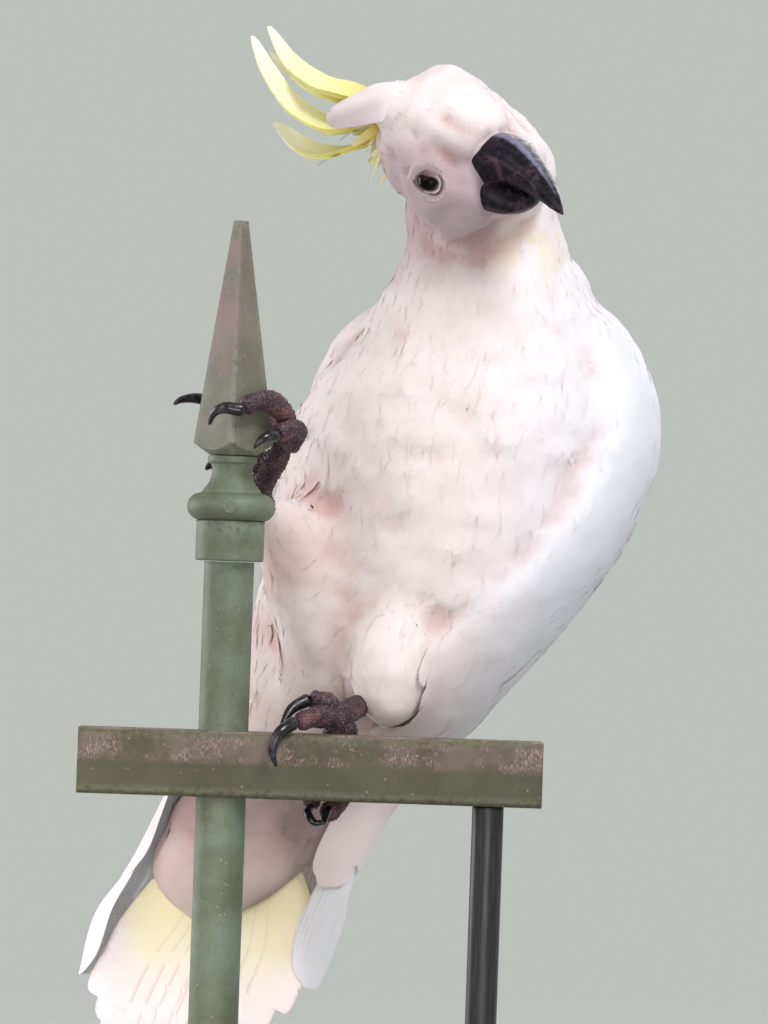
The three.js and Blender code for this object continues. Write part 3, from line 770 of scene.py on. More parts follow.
relief = belongs @ np.array([1.6, 2.7, 1.0, 0.5, 0.3]) * lumps \
    + belongs @ np.array([1.6, 1.5, 1.1, 0.5, 0.1]) * (scallops - 0.6)
relief = relief * smooth(skin_verts[:, 2], 90, 125)
for eye in EYES.values():
    relief = relief * smooth(np.linalg.norm(skin_verts - eye, axis=1), 6.5, 11)

bill_tree = tree_of(*joined([
    closed(sweep(head_rows(rows), HEAD_RIGHT, 40, 36, ends))
    for rows, ends in ((UPPER_BILL, UPPER_BILL_ENDS), (LOWER_BILL, LOWER_BILL_ENDS))]))
close_to_bill = np.array([bill_tree.find_nearest(p)[3] for p in skin_verts.tolist()])
relief = relief + 1.3 * np.exp(-((close_to_bill - 2.6) / 2.2) ** 2)

# Soft furrows on both sides of the face: depth, width, redness of the painted shade along it, then
# places along it on the head
FACE_FURROWS = [
    (1.5, 2.6, 0.0, (12, 15, 20), (17, 14, 13.5), (21, 11.5, 9), (24, 7, 3)),  # below the brow
    (1.3, 2.2, 0.0, (24, 6, 4), (25, 0, 7), (24, -6, 4)),  # over the bill
    (1.3, 2.2, 0.15, (-14, 27, 12), (-8, 27.5, 9), (-4, 28, 6.5)),  # temple
    (1.0, 1.5, 0.6, (-3, 27, 1.5), (-0.5, 26.5, 1.2), (2.5, 26, 1.2)),  # behind the eye
    (1.1, 2.4, 0.0, (10.5, 20.5, 12), (14, 19.5, 6), (17, 18, 1.5), (20, 14, -4)),
    (0.9, 1.5, 0.7, (5, 26.5, -11), (8.5, 26, -10.5), (11, 24, -8.5), (12, 22, -5)),  # eye, below
    (1.2, 2.4, 0.0, (13.5, 21, -16), (13, 17.5, -20), (11, 11, -24)),  # cheek
    (1.2, 2.4, 0.0, (-12, 26, 17.5), (-5.5, 24.5, 20), (-2, 22, 24))]  # below the lock
face_before = Surface(skin_verts, skin_faces)
on_face = np.flatnonzero(belongs[:, REGIONS.index("head")] > 0.2)
furrow_shade = np.zeros(len(skin_verts))
for depth, width, redness, *places in FACE_FURROWS:
    for side in ((1,) if places[0][1] > 0 > places[-1][1] else (1, -1)):
        t = np.linspace(0, 1, 30)
        f, r, u = catmull(places, t).T
        path, _ = face_before.nearest(on_head(f, r * side, u))
        gap = np.linalg.norm(skin_verts[on_face, None] - path, axis=-1)
        nearest_to = gap.argmin(1)
        gap, strength = gap.min(1), rounded(t, 0.35, 0.35)[nearest_to]
        furrow = np.exp(-(gap / width) ** 2) - 0.35 * np.exp(-(gap / width - 2.1) ** 2)
        relief[on_face] -= depth * strength * furrow
        furrow_shade[on_face] = np.maximum(furrow_shade[on_face], redness * strength * np.exp(-(gap / 1.1) ** 2))
for eye in EYES.values():
    aside = skin_verts - eye
    aside = aside - normals * (aside * normals).sum(1)[:, None]
    above = smooth(aside @ HEAD_UP, -1, 4)
    gap = np.linalg.norm(aside, axis=1)
    close = np.linalg.norm(skin_verts - eye, axis=1) < 14
    relief += close * (0.7 + 0.9 * above) * np.exp(-((gap - 6.6) / 2.2) ** 2)
skin_verts = skin_verts + normals * spread(relief, skin_faces, 1)

# How deep in a crease each place is, in millimetres: warm painted shade is laid there
normals = vertex_normals(skin_verts, skin_faces)
near_fold = ((spread(skin_verts, skin_faces, 12) - skin_verts) * normals).sum(1)
broad_fold = ((spread(skin_verts, skin_faces, 120) - skin_verts) * normals).sum(1)
crease_shade = 1.6 * np.maximum(near_fold, 0) + 0.24 * np.maximum(broad_fold, 0)
crease_shade = spread(crease_shade, skin_faces, 2)[:, 0]
skin = Surface(skin_verts, skin_faces)

skin_object = piece("skin", skin_verts, [skin_faces])
bpy.context.view_layer.objects.active = skin_object
skin_object.select_set(True)
skin_object.data.uv_layers.new(name="OFBake")
bpy.ops.object.mode_set(mode="EDIT")
bpy.ops.mesh.select_all(action="SELECT")
bpy.ops.uv.smart_project(angle_limit=math.radians(66), island_margin=0.002)
bpy.ops.object.mode_set(mode="OBJECT")
skin_object.select_set(False)
skin_map = np.zeros(len(skin_object.data.loops) * 2, np.float32)
skin_object.data.uv_layers["OFBake"].data.foreach_get("uv", skin_map)
face_map = skin_map.reshape(-1, 4, 2).mean(1)
add_value(skin_object, "crease_shade", crease_shade)
add_value(skin_object, "furrow_shade", furrow_shade)


def feather_length(points, weights):
    """Length of the feathers rooted at places on the skin, in millimetres."""
    z = points[:, 2]
    trunk = np.interp(z, [80, 120, 160, 220, 290, 320, 345, 365, 385],
                      [26, 28, 25, 23, 20, 16, 12, 9, 7.5])
    bill_gap = np.linalg.norm(points - BILL_ROOT, axis=1)
    eye_gap = np.min([np.linalg.norm(points - e, axis=1) for e in EYES.values()], axis=0)
    head = np.interp(bill_gap, [10, 16, 24, 40, 55], [2.4, 3.4, 5, 7, 8.5])
    head = np.minimum(head, np.interp(eye_gap, [6, 9, 14, 24], [2.0, 2.8, 4.4, 9]))
    wing = np.interp(z, [110, 170, 240, 300, 333], [24, 22, 17, 13, 10])
    thigh = np.interp(z, [160, 175, 215, 235, 250], [8, 11, 15, 15, 9])
    sizes = dict(trunk=trunk, head=head, thigh=thigh, wing=wing, lock=np.full(len(z), 11.0))
    return sum(weights[:, k] * sizes[part] for k, part in enumerate(REGIONS))


def places_on_skin(rng, spacing_at):
    """Random places on the skin, more of them where the feathers are small: point, face number."""
    a, b, c, d = (skin.verts[skin.faces[:, k]] for k in range(4))
    area = 0.5 * np.linalg.norm(np.cross(c - a, d - b), axis=1)
    amount = area * 2.6 / spacing_at(skin.middles, belongs[skin.faces].mean(1)) ** 2
    face = rng.choice(len(area), int(amount.sum()), p=amount / amount.sum())
    u, v = rng.random((2, len(face), 1))
    point = (1 - u) * (1 - v) * a[face] + u * (1 - v) * b[face] + u * v * c[face] \
        + (1 - u) * v * d[face]
    return point, face


# ---- one feather's outline ----
def vane_outline(seed, fray, barbs, soft=1.0):
    """A contour feather in units of its length: solid middle, loose barbs round the far edge.
    Gives x and y of its vertices and its faces as quads and triangles."""
    r = np.random.default_rng(seed)
    y = np.array([0.0, 0.30, 0.52, 0.70, 0.84, 0.93])
    half = np.array([0.05, 0.19, 0.265, 0.285, 0.24, 0.15])
    inner = half * (1 - fray * soft * 0.35)
    verts = [(0, v) for v in y] + [(0, 0.965)]
    quads, tris = [], []
    for side in (1, -1):
        rim = list(zip(side * inner, y + 0.02)) + [(0, 0.965)]
        first = len(verts)
        verts += rim[:-1]
        numbers = [first + k for k in range(6)] + [6]
        for k in range(5):
            quad = [k, first + k, first + k + 1, k + 1]
            quads.append(quad if side > 0 else quad[::-1])
        last = [5, first + 5, 6]
        tris.append(last if side > 0 else last[::-1])
        for k in range(1, 6):
            a, b = np.array(rim[k]), np.array(rim[k + 1])
            previous = numbers[k]
            for j in range(barbs):
                end = a + (b - a) * (j + 1) / barbs
                middle = a + (b - a) * (j + 0.5 + r.uniform(-0.2, 0.2)) / barbs
                splay = side * (0.36 if k < 4 else 0.2) * (1 - (k - 1) / 7)
                length = fray * r.uniform(0.10, 0.24) * (1 if k < 5 else 0.8)
                tip = middle + unit([splay + side * r.uniform(-0.1, 0.1), 0.72]) * length
                if j < barbs - 1:
                    verts.append(tuple(end))
                    following = len(verts) - 1
                else:
                    following = numbers[k + 1]
                verts.append(tuple(tip))
                tri = [previous, len(verts) - 1, following]
                tris.append(tri if side > 0 else tri[::-1])
                previous = following
    return np.array(verts), np.array(quads), np.array(tris)


SOFT_VANES = [vane_outline(k, 1.0, 3) for k in range(8)]
SMALL_VANES = [vane_outline(20 + k, 1.0, 2) for k in range(6)]
FIRM_VANES = [vane_outline(40 + k, 0.35, 2, 0.6) for k in range(6)]


def soften(obj, around, share=0.85):
    """Turn the shading of each vertex towards the way the skin under it faces."""
    own = np.zeros(len(obj.data.vertices) * 3, np.float32)
    obj.data.vertex_normals.foreach_get("vector", own)
    own = own.reshape(-1, 3)
    own *= np.where((own * around).sum(1, keepdims=True) < 0, -1, 1)
    obj.data.normals_split_custom_set_from_vertices(
        unit(share * around + (1 - share) * own).tolist())


MOST_FACES = 190000  # in one piece of the coat


def lay_feathers(name, point, face, length, outlines, material, rng, width=1.0, lift=0.085,
                 base=0.1, yaw=0.12, tucks=(0.62, 1.15)):
    """Feathers laid on the skin from their roots, as one or more pieces."""
    normal = skin.normal_at(face, point)
    roots_at = np.broadcast_to(base, len(point))
    way = lie[skin.faces[face]].mean(1)
    way = unit(way - (way * normal).sum(1, keepdims=True) * normal)
    side = np.cross(way, normal)
    turn = rng.normal(0, yaw, len(point))[:, None]
    way, side = way * np.cos(turn) + side * np.sin(turn), side * np.cos(turn) - way * np.sin(turn)
    kind = rng.integers(0, len(outlines), len(point))
    length = length * rng.uniform(0.88, 1.1, len(point))
    verts, quads, tris, bake, vane, flow, deep, start = [], [], [], [], [], [], [], 0
    for k, (outline, quad, tri) in enumerate(outlines):
        those = np.flatnonzero(kind == k)
        if not len(those):
            continue
        n, m = len(those), len(outline)
        x = outline[None, :, 0] * width * rng.uniform(0.9, 1.12, (n, 1))
        y = outline[None, :, 1]
        size = length[those][:, None]
        flat = point[those][:, None] + way[those][:, None] * (y * size)[..., None] \
            + side[those][:, None] * (x * size)[..., None]
        on, on_face = skin.nearest(flat.reshape(-1, 3))
        out_way = skin.normal_at(on_face, on)
        tip = rng.uniform(0.75, 1.25, (n, 1))
        tuck = rng.uniform(*tucks, (n, 1)) * smooth(y, 0.55, 0.97)
        rise = roots_at[those][:, None] \
            + size * lift * tip * y ** 0.8 * (1 - tuck) * (1 - 0.6 * (x / 0.31) ** 2) \
            + size * rng.normal(0, 0.008, (n, 1)) * x / 0.29
        rise = np.maximum(rise + rng.normal(0, 0.02, (n, m)) * (y > 0.5), 0.05)
        verts.append(on + out_way * rise.reshape(-1, 1))
        flow.append(out_way)
        deep.append(np.stack([crease_shade, furrow_shade], 1)[skin.faces[on_face]].mean(1))
        step = start + np.arange(n)[:, None, None] * m
        quads.append((quad[None] + step).reshape(-1, 4))
        tris.append((tri[None] + step).reshape(-1, 3))
        patch = face_map[face[those]][:, None]
        bake.append((patch + 0.003 * np.stack([x, y + 0 * x - 0.5], -1)).reshape(-1, 2))
        across_vane = x * size
        along_vane = y * size - np.abs(across_vane) * 0.8 + rng.uniform(0, 90, (n, 1))
        vane.append(np.stack([across_vane, along_vane], -1).reshape(-1, 2))
        start += n * m
    verts, quads, tris = np.vstack(verts), np.vstack(quads), np.vstack(tris)
    bake, vane, flow = np.clip(np.vstack(bake), 0, 1), np.vstack(vane), np.vstack(flow)
    deep = np.concatenate(deep)
    total = len(quads) * 2 + len(tris)
    pieces_needed = -(-total // MOST_FACES)
    for k in range(pieces_needed):
        low, high = start * k // pieces_needed, start * (k + 1) // pieces_needed
        some = [f[(f[:, 0] >= low) & (f[:, 0] < high)] for f in (quads, tris)]
        used = np.unique(np.concatenate([f.ravel() for f in some]))
        number = np.zeros(start, int)
        number[used] = np.arange(len(used))
        label = name if pieces_needed == 1 else f"{name}_{k + 1}"
        obj = piece(label, verts[used], [number[f] for f in some])
        add_map(obj, "OFBake", bake[used])
        add_map(obj, "Vane", vane[used])
        soften(obj, flow[used])
        add_value(obj, "crease_shade", deep[used, 0])
        add_value(obj, "furrow_shade", deep[used, 1])
        finish_piece(obj, material, "plumage_white")


# ---- coat ----
WHITE = (0.88, 0.805, 0.795)


def head_shade_and_throat_wash(t, color):
    """Painted shade: grey-lilac under the long lock, mauve low on the face; faint yellow on the
    throat.
    """
    x, _, z = t.axes(t.object_place())
    # Painted mauve shade low on the face, which faces away from the light
    face = t.times(t.ramp(z, 0.400, 0.378), t.ramp(z, 0.325, 0.356))
    face = t.times(face, t.ramp(x, 0.066, 0.046))
    color = t.shade(t.times(face, 0.9), color, (0.50, 0.42, 0.46))
    # Painted grey-lilac shade on the underside of the lock
    lilac = t.times(t.ramp(x, 0.016, -0.004), t.ramp(z, 0.384, 0.394))
    underside = t.maths("SUBTRACT", z, t.times(x, 0.39))
    lilac = t.times(lilac, t.ramp(underside, 0.4045, 0.3985))
    color = t.mix(t.times(lilac, 0.8), color, (0.54, 0.46, 0.50))
    warm = t.noise(60, t.object_place(), 2)
    throat = t.times(t.ramp(z, 0.366, 0.352), t.ramp(z, 0.330, 0.344))
    throat = t.times(throat, t.ramp(x, 0.040, 0.062))
    throat = t.times(throat, t.ramp(warm, 0.5, 0.66))
    return t.mix(t.times(throat, 0.5), color, (0.84, 0.76, 0.52))


def undertail_shade_and_wash(t, color):
    """Painted shade low on the belly and under the tail, darkest just under the rail, with faint
    yellow at the tips.
    """
    z = t.axes(t.object_place())["Z"]
    low = t.times(t.ramp(z, 0.118, 0.080), 0.35)
    # Painted shadow under the rail: darkest near it, lighter lower down
    shaded = t.mix(t.ramp(z, 0.128, 0.100), (0.55, 0.47, 0.48), (0.80, 0.71, 0.72))
    color = t.shade(t.ramp(z, 0.152, 0.128), color, shaded)
    return t.mix(low, color, (0.66, 0.60, 0.36))


feather_white = plumage("feather_white", WHITE, 0.85, 0.6,
                        lambda t, color: undertail_shade_and_wash(t, head_shade_and_throat_wash(t, color)))
covert_white = plumage("covert_white", WHITE, 0.25, 1.0, roughness=0.6, barbs=0.4, lines=1.8)

skin_white, t, shader = material("skin_under_feathers")
tint = t.group(plumage_tint, White=(0.84, 0.79, 0.78), Blush_amount=0.7, Cool_amount=0.5)
cover(t, shader, head_shade_and_throat_wash(t, tint["Color"]), t.bump(tint["Mottle"], 0.4, 0.0006),
      Roughness=0.9, Specular_IOR_Level=0.15)
finish_piece(skin_object, skin_white, "plumage_white", "head", "neck", "trunk", "thigh_left",
             "thigh_right", "crown_lock")

CLOSE = 0.18  # gap between feather roots, as a share of their length
rng = np.random.default_rng(41)
point, face = places_on_skin(rng, lambda where, share: CLOSE * feather_length(where, share))
share = belongs[skin.faces[face]].mean(1)
length = feather_length(point, share)
bare = np.zeros(len(point), bool)
for eye in EYES.values():
    aside = point - eye
    gap = np.linalg.norm(aside, axis=1)
    ahead_below = smooth(aside @ unit(HEAD_FORWARD - HEAD_UP) / gap, 0.3, 0.9)
    bare |= gap < 5.5 + 2.2 * ahead_below
bare |= np.array([bill_tree.find_nearest(p, 0.5)[0] is not None for p in point.tolist()])
near_bill = np.linalg.norm(point - BILL_ROOT, axis=1) < 15
for k in np.flatnonzero(near_bill).tolist():
    spot, outwards = bill_tree.find_nearest(Vector(point[k]))[:2]
    if (Vector(point[k]) - spot).dot(outwards) < 0:
        bare[k] = True
spacing = length * CLOSE
order = rng.permutation(np.flatnonzero(~bare))
chosen = order[scatter(point[order], spacing[order])]
part = np.argmax(share[chosen], axis=1)
COATS = (
    ("coat_head", ("head", "lock"), SMALL_VANES, feather_white,
     dict(width=1.0, lift=0.05, base=0.08, yaw=0.14)),
    ("coat_body", ("trunk", "thigh"), SOFT_VANES, feather_white,
     dict(width=1.1, lift=0.038, base=0.15, yaw=0.10)),
    ("coat_wings", ("wing",), FIRM_VANES, covert_white,
     dict(width=1.1, lift=0.034, base=0.15, yaw=0.05)))
for label, regions, outlines, look, settings in COATS:
    those = chosen[np.isin(part, [REGIONS.index(region) for region in regions])]
    if label == "coat_wings":
        # over the roots of the long feathers lower down
        settings["base"] = 0.15 + 1.5 * smooth(point[those][:, 2], 250, 195)
    lay_feathers(label, point[those], face[those], length[those], outlines, look, rng, **settings)


# ---- long feathers: vanes with a shaft ----
ACROSS = np.array([-1, -0.82, -0.58, -0.32, -0.09, 0, 0.09, 0.32, 0.58, 0.82, 1])


def travelled_along(path):
    """Distance along a path to each of its places."""
    return np.concatenate([[0], np.cumsum(np.linalg.norm(np.diff(path, axis=0), axis=1))])


def vane_section(rng, n, share, deepest, thick, shaft):
    """Across each row of a vane: what is left of its width, and the heights of shaft and blade."""
    torn = 1 - np.abs(ACROSS) ** 6 * (rng.random((n, 1)) < share) * rng.uniform(
        0.03, deepest, (n, 1))
    ridge = shaft * np.exp(-(ACROSS / 0.06) ** 2) * np.linspace(1, 0.35, n)[:, None]
    return torn, ridge, thick * (0.25 + 0.75 * (1 - ACROSS ** 2))


def long_vane(middle, normal, left, right, rng, thick=0.3, cup=0.0, tilt=0.0, shaft=0.35,
              slant=0.55, splits=0.04):
    """Rings of a flat feather with its shaft, cupped and tilted; rows slant as barbs do."""
    n = len(middle)
    way = unit(np.gradient(middle, axis=0))
    side = unit(np.cross(way, normal))
    out_way = np.cross(side, way)
    width = np.where(ACROSS < 0, left[:, None], right[:, None])
    torn, ridge, edge = vane_section(rng, n, splits * 2, 0.16, thick, shaft)
    x = ACROSS * width * torn
    slide = np.minimum(slant * np.abs(x), np.linalg.norm(middle[-1] - middle, axis=1)[:, None])
    base = middle[:, None] + side[:, None] * x[..., None] + way[:, None] * slide[..., None]
    height = -cup * (ACROSS ** 2) * width - tilt * x
    top = base + out_way[:, None] * (height + edge / 2 + ridge)[..., None]
    low = base + out_way[:, None] * (height - edge / 2 - ridge * 0.8)[..., None]
    return np.concatenate([top, low[:, ::-1]], axis=1)


RAY_START, RAY_BEYOND, NO_SKIN = 25, 4.0, 60.0  # over a wing, under it, and where no skin is met


def skin_height(hand, section, degrees):
    """Height of the feathered skin over a wing's middle surface."""
    above, middle = (on_wing(hand, section, degrees, out) for out in (RAY_START, 0))
    found = np.full(section.shape, NO_SKIN)
    for k in np.ndindex(section.shape):
        if section[k] < THICK_PART:
            way = middle[k] - above[k]
            hit = skin.tree.ray_cast(above[k], way, RAY_START + RAY_BEYOND)[3]
            if hit is not None:
                found[k] = RAY_START - hit
    return found


def wing_vane(hand, section, degrees, out, front_side, back_side, rng, thick=0.16, lean=0.012,
              shaft=0.12, slant=0.55):
    """Rings of a long feather laid on the wing, its front half a little higher than its back."""
    middle = on_wing(hand, section, degrees, out)
    per_degree = np.linalg.norm(on_wing(hand, section, degrees + 1, out) - middle, axis=1)
    travelled = travelled_along(middle)
    torn, ridge, edge = vane_section(rng, len(section), 0.03, 0.12, thick, shaft)
    x = ACROSS * np.where(ACROSS > 0, front_side[:, None], back_side[:, None]) * torn
    there = travelled[:, None] + np.minimum(slant * np.abs(x), travelled[-1] - travelled[:, None])
    at_section, at_degrees, at_out, scale = (
        np.interp(there, travelled, v) for v in (section, degrees, out, per_degree))
    at_degrees = at_degrees + x / scale
    half = edge / 2 + ridge
    height = at_out + lean * x
    under = height - skin_height(hand, at_section, at_degrees) + 1.2
    height = height - np.clip(under, 0, 4.5) * (1 - smooth(at_section, 6.35, THICK_PART))
    top = on_wing(hand, at_section, at_degrees, height + half)
    low = on_wing(hand, at_section, at_degrees, height - half)
    return np.concatenate([top, low[:, ::-1]], axis=1)


def add_strip_maps(obj, rings_list, margin=0.04):
    """OFBake and Vane maps for several tubes of rings: each tube has a strip of its own."""
    bake, vane = [], []
    for number, rings in enumerate(rings_list):
        n, m = rings.shape[:2]
        travelled = travelled_along(rings[:, 0])
        i, j = np.meshgrid(np.arange(n - 1), np.arange(m), indexing="ij")
        corners = [(i, j), (i, j + 1), (i + 1, j + 1), (i + 1, j)]

        def pair(row, column):
            u = (number + margin + (1 - 2 * margin) * column / m) / len(rings_list)
            v = margin + (1 - 2 * margin) * row / (n - 1)
            return np.stack([u, v], -1)

        half = m // 2
        width = np.linalg.norm(rings[:, 0] - rings[:, half - 1], axis=1)

        def lines(row, column):
            c = column % m
            u = np.where(c < half, c / (half - 1), (m - 1 - c) / (half - 1)) * 2 - 1
            x = u * width[row] / 2
            return np.stack([x, travelled[row] - 0.55 * np.abs(x) + 31.7 * number], -1)

        for store, make in ((bake, pair), (vane, lines)):
            store.append(np.stack([make(a, b) for a, b in corners], 2).reshape(-1, 2))
        j = np.arange(m)
        for row, order in ((0, (None, j + 1, j)), (n - 1, (None, j, j + 1))):
            for store, make, middle in ((bake, pair, m / 2), (vane, lines, half // 2)):
                fan = [make(np.full(m, row), np.full(m, middle) if c is None else c)
                       for c in order]
                store.append(np.stack(fan, 1).reshape(-1, 2))
    return np.vstack(bake), np.vstack(vane)


def vanes_piece(name, rings_list, material, slot, *nodes, facing=(0, 0, 0)):
    """Several long feathers as one piece, with both of their maps, shaded a little as one body."""
    parts = [closed(rings) for rings in rings_list]
    obj = piece(name, *joined(parts))
    bake, vane = add_strip_maps(obj, rings_list)
    for label, values in (("OFBake", bake), ("Vane", vane)):
        turned_over, start = [], 0
        for _, faces in parts:
            flipped = faces[0][0, 0] != 0  # by closed(), to face outwards
            for f in faces:
                count = f.size
                block = values[start:start + count].reshape(len(f), f.shape[1], 2)
                turned_over.append((block[:, ::-1] if flipped else block).reshape(-1, 2))
                start += count
        layer = obj.data.uv_layers.new(name=label)
        layer.data.foreach_set("uv", np.vstack(turned_over).astype(np.float32).ravel())
    faced = []
    for rings in rings_list:
        half = rings.shape[1] // 2
        over = unit(rings[:, :half] - rings[:, half:][:, ::-1])
        over = np.concatenate([over, -over[:, ::-1]], axis=1).reshape(-1, 3)
        over = unit(over + np.array(facing))
        faced += [over, over[:1], over[-1:]]
    obj.data.normals_split_custom_set_from_vertices(np.vstack(faced).tolist())
    rim = np.abs(np.concatenate([ACROSS, ACROSS[::-1]]))
    add_value(obj, "rim", np.concatenate([np.append(np.tile(rim, len(r)), [0, 0])
                                          for r in rings_list]))
    return finish_piece(obj, material, slot, *nodes)


def add_along(obj, shares, blades):
    """How far along its feather each vertex of several is, from 0 at the root to 1."""
    add_value(obj, "along", np.concatenate([
        np.append(np.repeat(t, b.shape[1]), [t[0], t[-1]]) for t, b in zip(shares, blades)]))


def vane_width(t, root, full, tip_start, sharp=2.4):
    """Half width along a feather: narrow root, even middle, rounded tip."""
    grow = root + (full - root) * smooth(t, 0.0, 0.35)
    end = np.clip((t - tip_start) / (1 - tip_start), 0, 1)
    return np.maximum(grow * (1 - end ** sharp) ** (1 / 1.8), 0.05)


def rim_wash(t, color):
    """A warm line along the edge of each long feather, where it throws its shade on the next."""
    rim = t.times(t.ramp(t.value("rim"), 0.84, 1.0), 0.5)
    return t.shade(rim, color, (0.66, 0.52, 0.50))


def tail_wash(t, color):
    """Sulphur yellow at the root of the tail's underside, paling to blush white at the tips."""
    where = t.object_place()
    x, _, z = t.axes(where)
    color = rim_wash(t, color)
    streak = t.noise(1.0, t.stretched(where, (60, 60, 12)), 3)
    height = t.maths("ADD", z, t.times(t.maths("SUBTRACT", streak, 0.5), 0.03))
    near_root = t.ramp(height, 0.040, 0.088)
    inner = t.ramp(x, -0.093, -0.078)
    amount = t.times(near_root, inner)
    color = t.mix(t.times(amount, 0.75), color, (0.86, 0.79, 0.40))
    return t.mix(t.times(t.ramp(height, 0.06, 0.02), 0.4), color, (0.84, 0.74, 0.72))


LONG_BARBS = dict(roughness=0.55, barbs=0.7, lines=1.5)
flight_white = plumage("flight_white", (0.89, 0.925, 0.95), 0.15, 0.9, rim_wash, **LONG_BARBS)
tail_white = plumage("tail_white", (0.95, 0.89, 0.89), 0.1, 0.2, tail_wash, **LONG_BARBS)

# Tail: twelve feathers in a fan, the outer ones in front when seen from below
rng = np.random.default_rng(7)
tail_rings = []
TAIL_FEATHERS, TAIL_INSET = 12, 12.5
half_fan = (TAIL_FEATHERS - 1) / 2
for k in sorted(range(TAIL_FEATHERS), key=lambda k: abs(k - half_fan)):
    place = (k - half_fan) / half_fan
    last = 1 - 0.30 * abs(place) ** 3 - 0.01 * (k % 2)
    s = np.linspace(0, 1, 70)
    rows = catmull(TAIL, 0.02 + (last - 0.02) * s)
    middle = rows[:, :3] + LEFT * (place * (rows[:, 3] - TAIL_INSET))[:, None]
    middle = middle + FRONT * (2.2 * abs(place) - 0.9)
    wide = vane_width(s, 10.5, 12.6, 0.84)
    outer, inner = (0.62, 1.0) if abs(place) > 0.7 else (0.86, 0.95)
    left, right = (wide * inner, wide * outer) if place > 0 else (wide * outer, wide * inner)
    normal = unit(np.cross(LEFT, np.gradient(rows[:, :3], axis=0)))
    normal = normal * np.sign(normal @ FRONT)[:, None]
    tail_rings.append(long_vane(middle, normal, right, left, rng, 0.18,
                                tilt=0.004 * np.sign(place), shaft=0.10, splits=0.015))
vanes_piece("tail_feathers", tail_rings, tail_white, "plumage_white", "tail",
            facing=(-0.2, -0.4, 0.7))


def wing_line(hand, section, q):
    """Degrees at a share q of the way from a wing's front edge to its back, and its thickness."""
    front_edge, back_edge, thick = wing_edges(hand, section)
    return front_edge + (back_edge - front_edge) * q, thick


# Wings: flight feathers from under the coverts to the wing tip, each over the one in front of it
FLIGHT, COVERTS = 19, 15
for hand in HANDS:
    rng = np.random.default_rng(11 if hand == "left" else 12)
    rings_list = []
    for k in range(FLIGHT):
        q = (k + 0.35) / FLIGHT
        first = 4.4 + 0.6 * math.sin(math.pi * q)
        last = float(np.interp(q, [0, 0.1, 0.22, 0.4, 0.55, 0.7, 0.85, 1],
                               [9.7, 10.15, 10.25, 10.0, 9.5, 8.9, 8.3, 7.8]))
        s = np.linspace(0, 1, 80)
        section = first + (last - first) * s
        degrees, thick = wing_line(hand, section, q)
        out = (thick - 1.5) / 2 + 0.9
        wide = vane_width(s, 3.5, 10.5 if k < 10 else 12.5, 0.80)
        room = 1.0 if k > 1 else (0.35 if k == 0 else 0.6)
        rings_list.append(wing_vane(hand, section, degrees, out, wide * 0.62 * room, wide * 1.05,
                                    rng))
    vanes_piece(f"wing_{hand}_flight", rings_list, flight_white, "plumage_white", f"wing_{hand}",
                facing=(0, -0.75, 0.35))

    # Greater coverts: a row of broad feathers over the roots of the flight feathers
    rings_list = []
    for k in range(COVERTS):
        q = (k + 0.3) / COVERTS
        s = np.linspace(0, 1, 50)
        last = 7.75 + 0.2 * math.sin(2.3 * k) + (0.3 if q < 0.2 else 0)
        section = 5.2 + (last - 5.2) * s
        degrees, thick = wing_line(hand, section, q)
        wide = vane_width(s, 3, 9.5, 0.76)
        rings_list.append(wing_vane(hand, section, degrees, (thick - 1.5) / 2 + 1.5, wide * 0.9,
                                    wide * 0.9, rng, shaft=0.07))
    vanes_piece(f"wing_{hand}_coverts", rings_list, covert_white, "plumage_white",
                facing=(0, -0.35, 0.35))


# ---- crest ----
def crest_wash(t, color):
    """Deep yellow at the root of the crest, pale sulphur halfway, nearly white at the tips."""
    along = t.value("along")
    streak = t.noise(1.0, t.stretched(t.uv("Vane"), (0.9, 0.05, 1)), 3)
    color = t.mix(t.ramp(along, 0.02, 0.26), (0.85, 0.60, 0.08), (0.86, 0.84, 0.34))
    color = t.mix(t.ramp(along, 0.2, 0.6), color, (0.90, 0.90, 0.54))
    color = t.mix(t.ramp(along, 0.6, 1.0), color, (0.92, 0.93, 0.76))
    return t.shade(t.times(t.ramp(streak, 0.6, 0.35), 0.3), color, (0.94, 0.88, 0.74))


